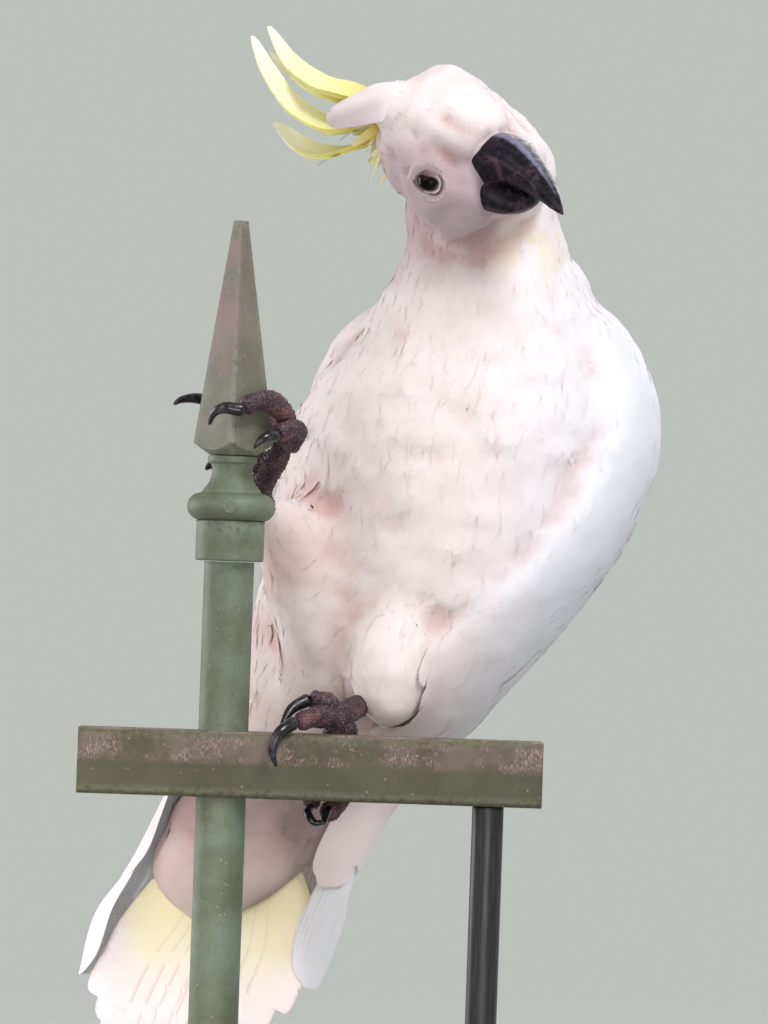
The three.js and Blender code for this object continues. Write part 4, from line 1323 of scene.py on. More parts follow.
crest_yellow = plumage("crest_yellow", WHITE, 0, 0, crest_wash, roughness=0.6, barbs=0.3, lines=2.4)
LOOSE_CREST = ("crest_4", "crest_5")  # the ones with more loose barbs, which hang
rng = np.random.default_rng(5)
for name, places in CREST.items():
    rows = np.array(places, float)
    s = np.linspace(0, 1, 64)
    blades, shares = [], []
    for shift, cup, last, share_of_width in ((0.45, 0.30, 1.0, 1.0), (-0.35, -0.15, 0.98, 0.97)):
        t = last * s
        r = catmull(rows, t)
        across, front, _ = along_path(r[:, :3], HEAD_RIGHT)
        wide = r[:, 3] * share_of_width * rounded(s, 0.05, 0.08) + 0.15
        middle = r[:, :3] + front * shift
        blades.append(long_vane(middle, front, wide * 1.05, wide * 1.05, rng, 0.3, cup=cup,
                                shaft=0.1, slant=0.7, splits=0.02))
        shares.append(t)
    for _ in range(9 if name in LOOSE_CREST else 4):
        start = rng.uniform(0.25, 0.7)
        t = start + rng.uniform(0.10, 0.2) * s
        r = catmull(rows, t)
        across, front, _ = along_path(r[:, :3], HEAD_RIGHT)
        hand = rng.choice([-1, 1])
        away = across * hand * (r[:, 3] * 0.8 + rng.uniform(1.0, 3.2) * s ** 1.4)[:, None]
        drop = -UP * (rng.uniform(0.5, 4.5) * s ** 2)[:, None] if name in LOOSE_CREST else 0
        middle = r[:, :3] + away + drop
        wide = 0.42 * (1 - s) + 0.05
        blades.append(long_vane(middle, front, wide, wide, rng, 0.12, shaft=0.05, slant=0))
        shares.append(t)
    obj = vanes_piece(f"feathers_{name}", blades, crest_yellow, "plumage_crest", name,
                      facing=(-0.15, -0.7, 0.5))
    add_along(obj, shares, blades)

# Long white feathers of the lock that lies over the root of the crest
lock_rows = np.array(LOCK, float)
blades = []
for facing in (1, -1):
    for aside, width, last in ((0.50, 0.50, 0.90), (-0.50, 0.50, 0.94), (0.0, 0.72, 1.0)):
        s = np.linspace(0, 1, 40)
        r = catmull(lock_rows, 0.15 + (last - 0.15) * s)
        across, front, _ = along_path(r[:, :3], HEAD_UP)
        bulge = 0.5 * math.sqrt(1 - aside ** 2) * r[:, 3:4] \
            - 1.2 * (1 - smooth(s, 0, 0.25))[:, None]
        middle = r[:, :3] + across * aside * r[:, 3:4] + facing * front * (bulge + 0.1)
        wide = np.maximum(r[:, 3] * width * rounded(s, 0.5, 0.12), 0.3)
        blades.append(long_vane(middle, facing * front, wide, wide, rng, 0.25, cup=0.4, shaft=0.08,
                                splits=0.02))
vanes_piece("lock_feathers", blades, feather_white, "plumage_white")

# Yellow tuft at the root of the lowest crest feather, and fine strands that hang from it
root, tip = (np.array(CREST["crest_4"][k][:3], float) for k in (0, 2))
TUFT, STRANDS = 32, 14
blades, shares = [], []
for k in range(TUFT + STRANDS):
    s = np.linspace(0, 1, 16)
    hanging = k >= TUFT
    start = root + rng.normal(0, 1, 3) * (2.6, 2.0, 4.0) + unit(root - tip) * 1.5
    reach_of = rng.uniform(8, 15) if hanging else rng.uniform(9, 16)
    way = unit(unit(tip - root) + np.array([0.15, 0, -0.55 if hanging else -0.12])
               + rng.normal(0, 0.16, 3))
    middle = start + way * (s * reach_of)[:, None] \
        + (HEAD_FORWARD * 0.2 - UP) * (s ** 2 * reach_of * (0.4 if hanging else 0.05))[:, None]
    wide = (1.1 if hanging else 1.9) * rounded(s, 0.2, 0.3) * (1.15 - (0.9 if hanging else 0.6) * s)
    wide = wide + 0.05
    along_it = unit(np.gradient(middle, axis=0))
    normal = unit(np.cross(along_it, np.cross([0.3, -1.0, 0.5], along_it)))
    blades.append(long_vane(middle, normal, wide, wide, rng, 0.14, cup=0.2, shaft=0.04,
                            slant=0.3, splits=0.05))
    shares.append((0.45 if hanging else 0.05) + 0.5 * s)
obj = vanes_piece("crest_tuft", blades, crest_yellow, "plumage_crest", facing=(0.2, -0.6, 0.7))
add_along(obj, shares, blades)

# Fine loose feathers that stand on the crown and hang below the crest
rng = np.random.default_rng(15)
CROWN_WISPS = [  # root and direction on the head, and width
    ((-6, 10, 25), (-0.4, 0.1, 1.0), 0.34), ((-4, 9, 26), (-0.2, 0.25, 1.0), 0.34),
    ((-8, 10, 24), (-0.5, 0.5, 0.9), 0.3)]
wisps = []
for place, (f, r, u), width in CROWN_WISPS:
    root = on_head(*place)
    way = unit(f * HEAD_FORWARD + r * HEAD_RIGHT + u * HEAD_UP)
    s = np.linspace(0, 1, 14)
    middle = root + way * (s * rng.uniform(4, 6.5))[:, None] \
        - HEAD_FORWARD * (s ** 2 * 1.6)[:, None]
    wide = width * (1.1 - s)
    wisps.append(long_vane(middle, np.broadcast_to(HEAD_RIGHT, middle.shape), wide, wide, rng,
                           0.12, shaft=0.05, slant=0))
vanes_piece("crown_wisps", wisps, feather_white, "plumage_white")

# ---- bill ----
bill_horn, t, shader = material("bill_horn")
where = t.object_place()
along, high = t.value("along"), t.value("high")
flake = t.noise(330, t.stretched(where, (1.0, 0.6, 1.3)), 6, 0.7, 0.5)
cloud = t.noise(90, where, 4, 0.6, 1.2)
color = t.mix(t.ramp(flake, 0.46, 0.74), (0.006, 0.004, 0.009), (0.034, 0.019, 0.038))
patchy = t.times(t.ramp(cloud, 0.50, 0.66), t.ramp(flake, 0.42, 0.56))
color = t.mix(t.times(patchy, 0.5), color, (0.11, 0.055, 0.085))
# Painted highlight along the top ridge of the bill, partly a bluish powdery bloom
powder_and_highlight = t.times(t.ramp(high, 0.93, 1.0), t.ramp(along, 0.92, 0.55))
powder_and_highlight = t.times(powder_and_highlight, t.ramp(flake, 0.20, 0.52))
color = t.mix(t.times(powder_and_highlight, 0.75), color, (0.27, 0.28, 0.40))
growth = t.noise(1.0, t.node("ShaderNodeCombineXYZ", inputs={
    "X": t.times(along, 46), "Y": t.times(high, 3)}).outputs[0], 4)
cover(t, shader, color, t.bump(t.maths("ADD", growth, flake), 0.35, 0.0003),
      Roughness=t.maths("ADD", 0.26, t.times(t.ramp(flake, 0.4, 0.75), 0.34)),
      Specular_IOR_Level=0.2)


def bill_part(name, rows, ends, ridge, steps, groove):
    """A half of the bill: pinched to a ridge, with a shallow groove along each side."""
    around = 72
    t = eased(steps)
    r = catmull(head_rows(rows), t)
    across, front, _ = along_path(r[:, :3], HEAD_RIGHT)
    a = turns(around)[None]
    up = np.maximum(np.sin(a), 0)
    end = np.maximum(rounded(t, *ends), 0.02)[:, None]
    wide = r[:, 3:4] * end * np.cos(a) * (1 - ridge * up ** 3)
    wide = wide * (1 - groove * np.exp(-((np.sin(a) - 0.55) / 0.10) ** 2) * np.abs(np.cos(a)))
    deep = np.where(np.sin(a) > 0, r[:, 4:5], r[:, 5:6]) * end * np.sin(a)
    ripple = 0.10 * np.sin(t * 95 + 1.5 * np.sin(t * 31))[:, None] * smooth(t, 0.12, 0.3)[:, None]
    edge = 0.4 * np.exp(-((np.sin(a) + 0.62) / 0.12) ** 2) * np.sign(np.cos(a))
    rings = r[:, None, :3] + across[:, None] * (wide + edge * end)[..., None] \
        + front[:, None] * (deep + ripple * up)[..., None]
    obj = piece(f"horn_{name}", *closed(rings))
    add_value(obj, "along", np.append(np.repeat(t, around), [0, 1]))
    add_value(obj, "high", np.append(np.broadcast_to(np.sin(a), (steps + 1, around)), [0, 0]))
    return finish_piece(obj, bill_horn, "bill", name)


bill_part("bill_upper", UPPER_BILL, UPPER_BILL_ENDS, 0.42, 110, 0.07)
bill_part("bill_lower", LOWER_BILL, LOWER_BILL_ENDS, 0.05, 60, 0.0)

# Soft bare skin at the root of the bill, with the nostrils
cere_skin, t, shader = material("cere_skin")
grain = t.noise(500, t.object_place(), 4, 0.6)
cover(t, shader, t.mix(t.ramp(grain, 0.4, 0.65), (0.045, 0.040, 0.060), (0.16, 0.15, 0.20)),
      t.bump(grain, 0.5, 0.0003), Roughness=0.62)
cere_rows = [[14.5, 0, -1.2, 8.0, 9.6, 5.0], [16.6, 0, -1.4, 9.6, 11.4, 5.5],
             [19.4, 0, -1.8, 9.8, 11.6, 5.6], [22.2, 0, -2.6, 8.6, 9.8, 5.0]]
cere = sweep(head_rows(cere_rows), HEAD_RIGHT, 24, 72, (0.1, 0.45))
for hand in (-1, 1):
    nostril = on_head(20.4, hand * 4.6, 7.0)
    gap = np.linalg.norm(cere - nostril, axis=-1)
    inward = unit(on_head(20, 0, -2) - nostril)
    cere = cere + inward * (1.9 * np.exp(-(gap / 1.25) ** 2)
                            - 0.45 * np.exp(-((gap - 2.1) / 0.7) ** 2))[..., None]
finish_piece(piece("cere", *closed(cere)), cere_skin, "bill")

# ---- eyes and lids ----
eye_gloss, t, shader = material("eye_gloss")
ring = t.value("off_axis")
grain = t.noise(900, t.object_place(), 4, 0.6)
iris = t.mix(t.ramp(grain, 0.35, 0.65), (0.005, 0.003, 0.002), (0.014, 0.007, 0.005))
color = t.mix(t.ramp(ring, 0.34, 0.38), (0.002, 0.002, 0.003), iris)
color = t.mix(t.ramp(ring, 0.62, 0.70), color, (0.006, 0.005, 0.006))
cover(t, shader, color, Roughness=0.16, Specular_IOR_Level=0.07)

lid_skin, t, shader = material("lid_skin")
out_from_eye, lid_fold_shade = t.value("outwards"), t.value("warm")
grain = t.noise(700, t.object_place(), 4, 0.65)
pale = t.value("pale")
color = t.mix(pale, (0.17, 0.09, 0.09), (0.80, 0.80, 0.86))
color = t.mix(t.ramp(out_from_eye, 0.04, 0.26), (0.05, 0.024, 0.028), color)
color = t.mix(t.ramp(out_from_eye, 0.30, 0.6), color, (0.50, 0.41, 0.43))
# Painted red-brown shade on the lid folds
color = t.mix(t.times(lid_fold_shade, 0.95), color, (0.13, 0.040, 0.036))
color = t.shade(t.times(t.ramp(grain, 0.60, 0.36), 0.4), color, (0.62, 0.46, 0.48))
cover(t, shader, color, t.bump(grain, 0.5, 0.0002), Roughness=0.55)

EYE_ROWS, EYE_AROUND, LID_ROWS, LID_AROUND = 40, 56, 34, 96
LID_INNER, LID_OUTER = 3.15, 8.2
for hand, sign in HANDS.items():
    eye = EYES[hand]
    on, on_face = skin.nearest(np.array([eye - sign * HEAD_RIGHT * 6]))
    outwards = unit(skin.normal_at(on_face, on)[0] + HEAD_FORWARD * 0.18)
    forward = unit(HEAD_FORWARD - (HEAD_FORWARD @ outwards) * outwards)
    up = np.cross(outwards, forward) * (-sign)
    up = up * np.sign(up @ HEAD_UP)
    lat = np.linspace(0.01, np.pi - 0.01, EYE_ROWS)[:, None]
    lon = turns(EYE_AROUND)[None]
    ball = eye + EYE_RADIUS * (np.cos(lat)[..., None] * outwards
                               + (np.sin(lat) * np.cos(lon))[..., None] * forward
                               + (np.sin(lat) * np.sin(lon))[..., None] * up)
    obj = piece(f"eyeball_{hand}", *closed(ball))
    add_value(obj, "off_axis", np.append(np.repeat(lat[:, 0], EYE_AROUND), [0, np.pi]))
    finish_piece(obj, eye_gloss, "eye", f"eye_{hand}")

    # Lids: a rolled rim, two folds, and an edge that meets the skin of the face
    rho = np.linspace(0, 1, LID_ROWS)[:, None]
    turn = turns(LID_AROUND)[None]
    radius = LID_INNER + (LID_OUTER - LID_INNER) * rho
    oval = 1 + (0.50 * np.cos(turn + 0.55) ** 2 - 0.22) * (1 - 0.6 * rho)
    corner = 0.4 * np.exp(-((np.cos(turn) - 1) / 0.12) ** 2) * np.exp(-rho * 5)
    away = radius * oval + corner
    fold_1 = 0.28 * np.exp(-((rho - 0.12) / 0.08) ** 2)
    fold_2 = 0.42 * np.exp(-((rho - 0.40 - 0.03 * np.sin(3 * turn)) / 0.07) ** 2) \
        * (0.55 + 0.45 * np.cos(turn + 1.1))
    fold_3 = 0.30 * np.exp(-((rho - 0.62 + 0.03 * np.sin(2 * turn)) / 0.06) ** 2) \
        * (0.5 + 0.5 * np.cos(turn + 0.8))
    wrinkle = 0.06 * np.sin(turn * 23 + 4 * np.sin(turn * 3)) * np.exp(-((rho - 0.35) / 0.3) ** 2)
    dome = np.sqrt(np.maximum(EYE_RADIUS ** 2 - np.minimum(away, 4.9) ** 2, 0.3))
    sheet = eye + (away * np.cos(turn))[..., None] * forward + (away * np.sin(turn))[..., None] * up
    flat = sheet + outwards * (np.maximum(dome, 2.0) + 0.1)[..., None]
    on, on_face = skin.nearest(flat.reshape(-1, 3))
    on = (on + skin.normal_at(on_face, on) * 0.25).reshape(flat.shape)
    blend = smooth(rho, 0.25, 0.9)[..., None] * np.ones((1, LID_AROUND, 1))
    lids = flat * (1 - blend) + on * blend \
        + outwards * ((fold_1 + fold_2 + fold_3 + wrinkle) * (1 - smooth(rho, 0.8, 1)))[..., None]
    from_ball = lids - eye
    clear_of_it = np.linalg.norm(from_ball, axis=-1, keepdims=True)
    lids = eye + from_ball / clear_of_it * np.maximum(clear_of_it, EYE_RADIUS + 0.12)
    back = lids - outwards * 0.7
    shell = np.concatenate([lids, back[::-1]])
    quads = ring_quads(len(shell), LID_AROUND, len(shell))
    verts = shell.reshape(-1, 3)
    a, b, c = (verts[quads[0, q]] for q in range(3))
    if np.dot(np.cross(b - a, c - a), outwards) < 0:
        quads = quads[:, ::-1]
    obj = piece(f"lids_{hand}", verts, [quads])
    # Where the painted shade lies: on the largest fold low in front, and under the brow above and
    # behind the eye
    warm = np.exp(-((rho - 0.42 - 0.05 * np.sin(4 * turn)) / 0.12) ** 2) \
        * smooth(np.cos(turn + 0.7), 0.30, 0.9)
    warm = np.maximum(warm, np.exp(-((rho - 0.34) / 0.10) ** 2)
                      * smooth(np.cos(turn - 2.2), 0.45, 0.9))
    pale = np.exp(-((rho - 0.24) / 0.10) ** 2) * smooth(np.cos(turn + 0.9), 0.2, 0.7)
    for label, values in (("outwards", rho + 0 * turn), ("warm", warm), ("pale", pale)):
        add_value(obj, label, np.concatenate([values, values[::-1]]))
    finish_piece(obj, lid_skin, "plumage_white")

# ---- feet ----
foot_skin, t, shader = material("foot_skin")
where = t.object_place()
cells = t.node("ShaderNodeTexVoronoi", inputs={"Vector": where, "Scale": 900.0})
grain = t.noise(300, where, 4, 0.6)
color = t.mix(t.ramp(grain, 0.35, 0.65), (0.030, 0.018, 0.026), (0.085, 0.045, 0.058))
color = t.mix(t.times(t.ramp(t.noise(120, where, 3), 0.5, 0.66), 0.6), color,
              (0.22, 0.085, 0.085))
# Painted highlight on the middle of each small scale
color = t.mix(t.times(t.ramp(cells.outputs["Distance"], 0.35, 0.1), 0.35), color,
              (0.36, 0.26, 0.29))
cover(t, shader, color, t.bump(cells.outputs["Distance"], 0.5, 0.0004), Roughness=0.5)


SCALES = {"Spacing": 0.00105, "Scale size": 0.00060, "Seed": 3}  # lengths in metres


def scales_tree():
    """Geometry Nodes: small domed scales all over a foot, with the foot itself under them."""
    tree = bpy.data.node_groups.new("Foot scales", "GeometryNodeTree")
    inputs = {}
    for name, kind in (("Geometry", "Geometry"), ("Spacing", "Float"), ("Scale size", "Float"),
                       ("Seed", "Int"), ("Material", "Material")):
        socket = tree.interface.new_socket(name, in_out="INPUT", socket_type=f"NodeSocket{kind}")
        if name in SCALES:
            socket.default_value = SCALES[name]
        inputs[name] = socket.identifier
    tree.interface.new_socket("Geometry", in_out="OUTPUT", socket_type="NodeSocketGeometry")
    add = tree.nodes.new
    given, out = add("NodeGroupInput"), add("NodeGroupOutput")
    spots = add("GeometryNodeDistributePointsOnFaces")
    spots.distribute_method = "POISSON"
    spots.inputs["Density Max"].default_value = 2.5e6
    dome = add("GeometryNodeMeshIcoSphere")
    dome.inputs["Subdivisions"].default_value = 1
    flatten = add("GeometryNodeTransform")
    flatten.inputs["Scale"].default_value = (1, 1, 0.5)
    sizes = add("FunctionNodeRandomValue")
    sizes.inputs[2].default_value, sizes.inputs[3].default_value = 0.75, 1.25
    put = add("GeometryNodeInstanceOnPoints")
    real, join = add("GeometryNodeRealizeInstances"), add("GeometryNodeJoinGeometry")
    rounded_off, paint = add("GeometryNodeSetShadeSmooth"), add("GeometryNodeSetMaterial")
    for source, output, target, entry in (
            (given, "Geometry", spots, "Mesh"),
            (given, "Spacing", spots, "Distance Min"),
            (given, "Seed", spots, "Seed"),
            (given, "Seed", sizes, "Seed"),
            (given, "Scale size", dome, "Radius"),
            (dome, "Mesh", flatten, "Geometry"),
            (spots, "Points", put, "Points"),
            (flatten, "Geometry", put, "Instance"),
            (spots, "Rotation", put, "Rotation"),
            (sizes, 1, put, "Scale"),
            (given, "Geometry", join, "Geometry"),
            (put, "Instances", join, "Geometry"),
            (join, "Geometry", real, "Geometry"),
            (real, "Geometry", rounded_off, "Geometry"),
            (rounded_off, "Geometry", paint, "Geometry"),
            (given, "Material", paint, "Material"),
            (paint, "Geometry", out, "Geometry")):
        tree.links.new(source.outputs[output], target.inputs[entry])
    return tree, inputs


def toe_rings(places, pads):
    """A toe with cross-wise plates and swollen pads along it, raised all the way round."""
    length = np.linalg.norm(np.diff(np.array(places)[:, :3], axis=0), axis=1).sum()
    steps, around = int(length * 4), 28
    rings = limb(places, steps, around, (0.08, 0.16))
    middle = rings.mean(1, keepdims=True)
    outwards = unit(rings - middle)
    s = np.linspace(0, length, steps + 1)[:, None]
    swell = 0.30 * np.abs(np.sin(np.pi * s / 2.0)) ** 0.7 - 0.15
    swell = swell + pads * 0.35 * np.sin(2 * np.pi * s / (length / 2.5))
    return rings + outwards * (swell * rounded(s / length, 0.1, 0.1))[..., None]


tree, inputs = scales_tree()
for hand in HANDS:
    rings_list = [toe_rings(TARSI[hand], 0)]
    rings_list += [toe_rings(toe, 1) for name, (toe, claw) in TOES.items() if name.startswith(hand)]
    foot = piece(f"foot_{hand}", *joined([closed(r) for r in rings_list]))
    scales = foot.modifiers.new("scales", "NODES")
    scales.node_group = tree
    for name, value in {**SCALES, "Material": foot_skin}.items():
        scales[inputs[name]] = value
    foot.update_tag()
    evaluated(foot)
    finish_piece(foot, foot_skin, "foot_skin", f"tarsus_{hand}",
                 *[f"toe_{name}" for name in TOES if name.startswith(hand)])

claw_gloss, t, shader = material("claw_gloss")
where = t.object_place()
grain = t.noise(400, where, 5, 0.6)
cover(t, shader, t.mix(t.ramp(grain, 0.45, 0.7), (0.008, 0.007, 0.010), (0.05, 0.042, 0.055)),
      t.bump(grain, 0.25, 0.0002),
      Roughness=t.maths("ADD", 0.18, t.times(t.ramp(grain, 0.45, 0.75), 0.3)))
for name, (toe, claw) in TOES.items():
    root = np.array(claw[0][:3]) * 0.65 + np.array(toe[-1][:3]) * 0.35
    rings = limb([[*root, claw[0][3] * 0.95], *claw], 44, 24, (0.12, 0.05))
    finish_piece(piece(f"horn_{name}", *closed(rings)), claw_gloss, "claw", f"claw_{name}")

# ---- fence ----
worn_paint, t, given, out = shader_group(
    "Worn paint",
    [("Paint", COLOR, (0.12, 0.12, 0.05)), ("Faded", COLOR, (0.30, 0.33, 0.27)),
     ("Bare", COLOR, (0.50, 0.33, 0.33)), ("Edge", FLOAT, 0.0), ("Scuff", FLOAT, 0.0),
     ("Stain", FLOAT, 0.0), ("Fade amount", FLOAT, 0.5)],
    [("Color", COLOR), ("Roughness", FLOAT), ("Normal", NORMAL)])
where = t.object_place()
cloud, fine = t.noise(45, where, 5, 0.6), t.noise(420, where, 6, 0.7)
specks = t.node("ShaderNodeTexVoronoi", inputs={"Vector": where, "Scale": 330.0})
faded = t.times(t.ramp(cloud, 0.35, 0.7), given["Fade amount"])
color = t.mix(faded, given["Paint"], given["Faded"])
color = t.shade(t.times(t.ramp(fine, 0.52, 0.36), 0.35), color, (0.62, 0.60, 0.55))
dust = t.times(t.ramp(specks.outputs["Distance"], 0.20, 0.08),
               t.ramp(t.noise(120, where, 2), 0.50, 0.60))
color = t.mix(t.times(dust, 0.4), color, (0.42, 0.41, 0.34))
edge = t.times(given["Edge"], t.ramp(fine, 0.34, 0.58))
color = t.mix(t.times(edge, 0.55), color, given["Faded"])
strokes = t.noise(1.0, t.stretched(where, (1900, 400, 700), turn=(0, 0.5, 0)), 4, 0.75)
patches = t.noise(95, where, 4, 0.7)
scuffed = t.times(t.ramp(strokes, 0.50, 0.60), t.ramp(patches, 0.44, 0.60))
scuffed = t.times(scuffed, given["Scuff"])
color = t.mix(t.times(scuffed, 0.8), color, given["Bare"])
stain = t.times(t.ramp(t.noise(70, where, 5, 0.7), 0.38, 0.60), given["Scuff"])
color = t.mix(t.times(stain, given["Stain"]), color, given["Bare"])
t.put(color, out["Color"])
t.put(t.maths("ADD", 0.42, t.times(fine, 0.25)), out["Roughness"])
relief = t.maths("SUBTRACT", t.times(fine, 0.5), scuffed)
t.put(t.bump(relief, 0.35, 0.0003), out["Normal"])


def fence_paint(name, paint, faded, bare, scuff, fade_amount, stain=0.0):
    """Weathered fence paint; scuff(t) gives how scuffed each place is."""
    made, t, shader = material(name)
    worn = t.group(worn_paint, Paint=paint, Faded=faded, Bare=bare, Edge=t.value("edge"),
                   Scuff=scuff(t), Fade_amount=fade_amount, Stain=stain)
    cover(t, shader, worn["Color"], worn["Normal"], Roughness=worn["Roughness"])
    return made


def rail_scuffs(t):
    """A band along the upper half of the rail's front, and a little on its top."""
    z = t.axes(t.object_place())["Z"]
    band = t.times(t.ramp(z, 0.1465, 0.1505), t.ramp(z, 0.1590, 0.1560))
    ends = t.noise(14, t.object_place(), 2)
    top = t.times(t.ramp(z, 0.1590, 0.1599), 1.3)
    return t.maths("ADD", t.times(band, t.ramp(ends, 0.40, 0.52)), top)


def spear_scuffs(t):
    x, _, z = t.axes(t.object_place())
    left = t.ramp(x, -0.0435, -0.0475)
    high = t.ramp(z, 0.262, 0.325)
    return t.times(high, t.maths("ADD", 0.45, t.times(left, 1.2)))


def few_scuffs(t):
    return t.times(t.value("edge"), 0.25)


rail_paint = fence_paint("rail_paint", (0.056, 0.052, 0.019), (0.16, 0.16, 0.10),
                         (0.52, 0.34, 0.33), rail_scuffs, 0.22, 0.16)
picket_paint = fence_paint("picket_paint", (0.105, 0.125, 0.065), (0.22, 0.29, 0.24),
                           (0.55, 0.42, 0.42), few_scuffs, 0.5)
spear_paint = fence_paint("spear_paint", (0.135, 0.14, 0.095), (0.25, 0.27, 0.22),
                          (0.28, 0.165, 0.175), spear_scuffs, 0.5, 0.45)


def crisp(obj, degrees=32):
    """Smooth shading with sharp lines where the faces turn by more than this."""
    obj.data.set_sharp_from_angle(angle=math.radians(degrees))
    return obj


def rounded_square(width, height, corner, flat_steps=10, corner_steps=7):
    """Places round a square with round corners, and how near each is to a corner."""
    places, near = [], []
    for k in range(4):
        turn = k * math.pi / 2
        cos, sin = math.cos(turn), math.sin(turn)
        x, y = (width / 2, height / 2) if k % 2 == 0 else (height / 2, width / 2)
        flats = np.linspace(-1, 1, flat_steps, endpoint=False)[1:]
        side = [(x, v * (y - corner)) for v in flats]
        side += [(x - corner + corner * math.cos(a), y - corner + corner * math.sin(a))
                 for a in np.linspace(0, math.pi / 2, corner_steps)]
        places += [(p * cos - q * sin, p * sin + q * cos) for p, q in side]
        near += [max(0, abs(v) - 0.86) * 5 for v in flats] + [1] * corner_steps
    return np.array(places), np.array(near)


outline, near = rounded_square(RAIL_SIZE, RAIL_SIZE, RAIL_CORNER)
rail_start, rail_end = RAIL_ENDS
x = np.concatenate([[rail_start, rail_start + 0.25], np.arange(rail_start + 2, rail_end - 1, 2),
                    [rail_end - 0.25, rail_end]])
shrink = np.ones(len(x))
shrink[[0, -1]] = 1 - 0.3 / RAIL_SIZE
rings = np.stack([np.broadcast_to(x[:, None], (len(x), len(outline))),
                  FENCE_Y + shrink[:, None] * outline[:, 0],
                  RAIL_TOP - RAIL_SIZE / 2 + shrink[:, None] * outline[:, 1]], -1)
rail = crisp(piece("rail", *closed(rings)))
add_value(rail, "edge", np.append(np.tile(near, len(x)), [0, 0]))
finish_piece(rail, rail_paint, "fence_paint", "perch_rail")


def turned_piece(name, profile, around=96, x=PICKET_X):
    """A lathe-turned piece from rows of radius and height."""
    profile = np.array(profile, float)
    a = turns(around)
    radius, height = np.maximum(profile[:, 0], 0.01), profile[:, 1]
    rings = np.stack([x + radius[:, None] * np.cos(a), FENCE_Y + radius[:, None] * np.sin(a),
                      np.broadcast_to(height[:, None], (len(profile), around))], -1)
    obj = crisp(piece(name, *closed(rings)))
    bend = np.zeros(len(profile))
    way = unit(np.diff(profile, axis=0))
    bend[1:-1] = np.clip(1 - (way[1:] * way[:-1]).sum(1), 0, 1) * 3
    add_value(obj, "edge", np.append(np.repeat(np.clip(bend, 0, 1), around), [0, 0]))
    return obj


def arc(radius, height, size, first, last, steps):
    a = np.radians(np.linspace(first, last, steps))
    return [[radius + size * math.cos(v), height + size * math.sin(v)] for v in a]


shaft = [[0, PICKET_BOTTOM], [9, PICKET_BOTTOM], *arc(9, PICKET_BOTTOM + 0.5, 0.5, -90, 0, 4)]
shaft += [[PICKET_RADIUS, z] for z in np.linspace(PICKET_BOTTOM + 4, 220, 44)]
shaft += [[PICKET_RADIUS, COLLAR_BOTTOM - 0.3], [0, COLLAR_BOTTOM - 0.3]]
finish_piece(turned_piece("picket", shaft), picket_paint, "fence_paint", "perch_picket")

collar = [[0, COLLAR_BOTTOM], [12.2, COLLAR_BOTTOM],
          *arc(12.2, COLLAR_BOTTOM + 0.8, 0.8, -90, 0, 5),
          [13, 232], [13, RING_Z - RING_HALF - 0.6],
          *arc(13.4, RING_Z - RING_HALF - 0.6, 0.4, 180, 90, 3),
          *arc(RING_OUT - RING_HALF, RING_Z, RING_HALF, -80, 84, 18),
          [11.3, RING_Z + 5.6], [10.6, RING_Z + 6.8], [9.2, RING_Z + 8.6], [8.2, RING_Z + 10.8],
          [7.7, RING_Z + 13], [7.8, RING_Z + 15], [8.3, RING_Z + 16.2], [9.1, RING_Z + 16.7],
          *arc(9.0, RING_Z + 17.3, 0.5, -60, 0, 4), [9.5, RING_Z + 18.8],
          *arc(9.0, RING_Z + 18.9, 0.5, 0, 90, 4), [0, RING_Z + 19.4]]
finish_piece(turned_piece("collar", collar), picket_paint, "fence_paint", "perch_collar")

# A small round boss on the front of the ring
profile = np.array([[0.01, 0], [2.3, 0], [2.6, -0.5], [2.5, -1.1], [2.2, -1.25], [1.9, -1.0],
                    [1.0, -1.15], [0.01, -1.25]])
BOSS_AROUND = 32
a = turns(BOSS_AROUND)
rings = np.stack([PICKET_X + profile[:, :1] * np.cos(a),
                  FENCE_Y - RING_OUT + 0.75 + profile[:, 1:] + 0 * a,
                  RING_Z + profile[:, :1] * np.sin(a)], -1)
boss = crisp(piece("ring_boss", *closed(rings)), 40)
add_value(boss, "edge", np.append(np.repeat([0, 0, 0.6, 1, 1, 0, 0, 0], BOSS_AROUND), [0, 0]))
finish_piece(boss, picket_paint, "fence_paint")

# Spearhead: four flats that taper to the top, corners just broken, and a foot turned to a cone
outline, near = [], []
for k in range(4):
    cos, sin = math.cos(k * math.pi / 2), math.sin(k * math.pi / 2)
    for s in np.linspace(0.035, 0.965, 12):
        outline.append(((1 - s) * cos - s * sin, (1 - s) * sin + s * cos))
        near.append(1 if s < 0.04 or s > 0.96 else (0.35 if s < 0.13 or s > 0.87 else 0))
outline, near = np.array(outline), np.array(near)
spear_length = SPEAR_TOP - SPEAR_BOTTOM
height = np.concatenate([np.linspace(0, 6.6, 24), np.linspace(8, spear_length - 0.6, 44),
                         [spear_length - 0.15, spear_length]])
half = np.interp(height, [0, spear_length], [SPEAR_LOW, SPEAR_HIGH])
half[-1] -= 0.4
cone = 8.9 + height * (17.6 - 8.9) / 6.0
reach = np.linalg.norm(outline, axis=1)
cut = np.minimum(half[:, None] * reach, cone[:, None])
rings = np.stack([PICKET_X + cut * outline[:, 0] / reach, FENCE_Y + cut * outline[:, 1] / reach,
                  SPEAR_BOTTOM + height[:, None] + 0 * cut], -1)
spear = crisp(piece("spear", *closed(rings)), 20)
line = np.abs(half[:, None] * reach - cone[:, None]) < 0.7
worn = np.maximum(np.maximum(near[None] * np.ones(cut.shape), line * 0.8),
                  smooth(height, 84, 89)[:, None])
add_value(spear, "edge", np.append(worn, [0, 1]))
finish_piece(spear, spear_paint, "fence_paint", "perch_spear")

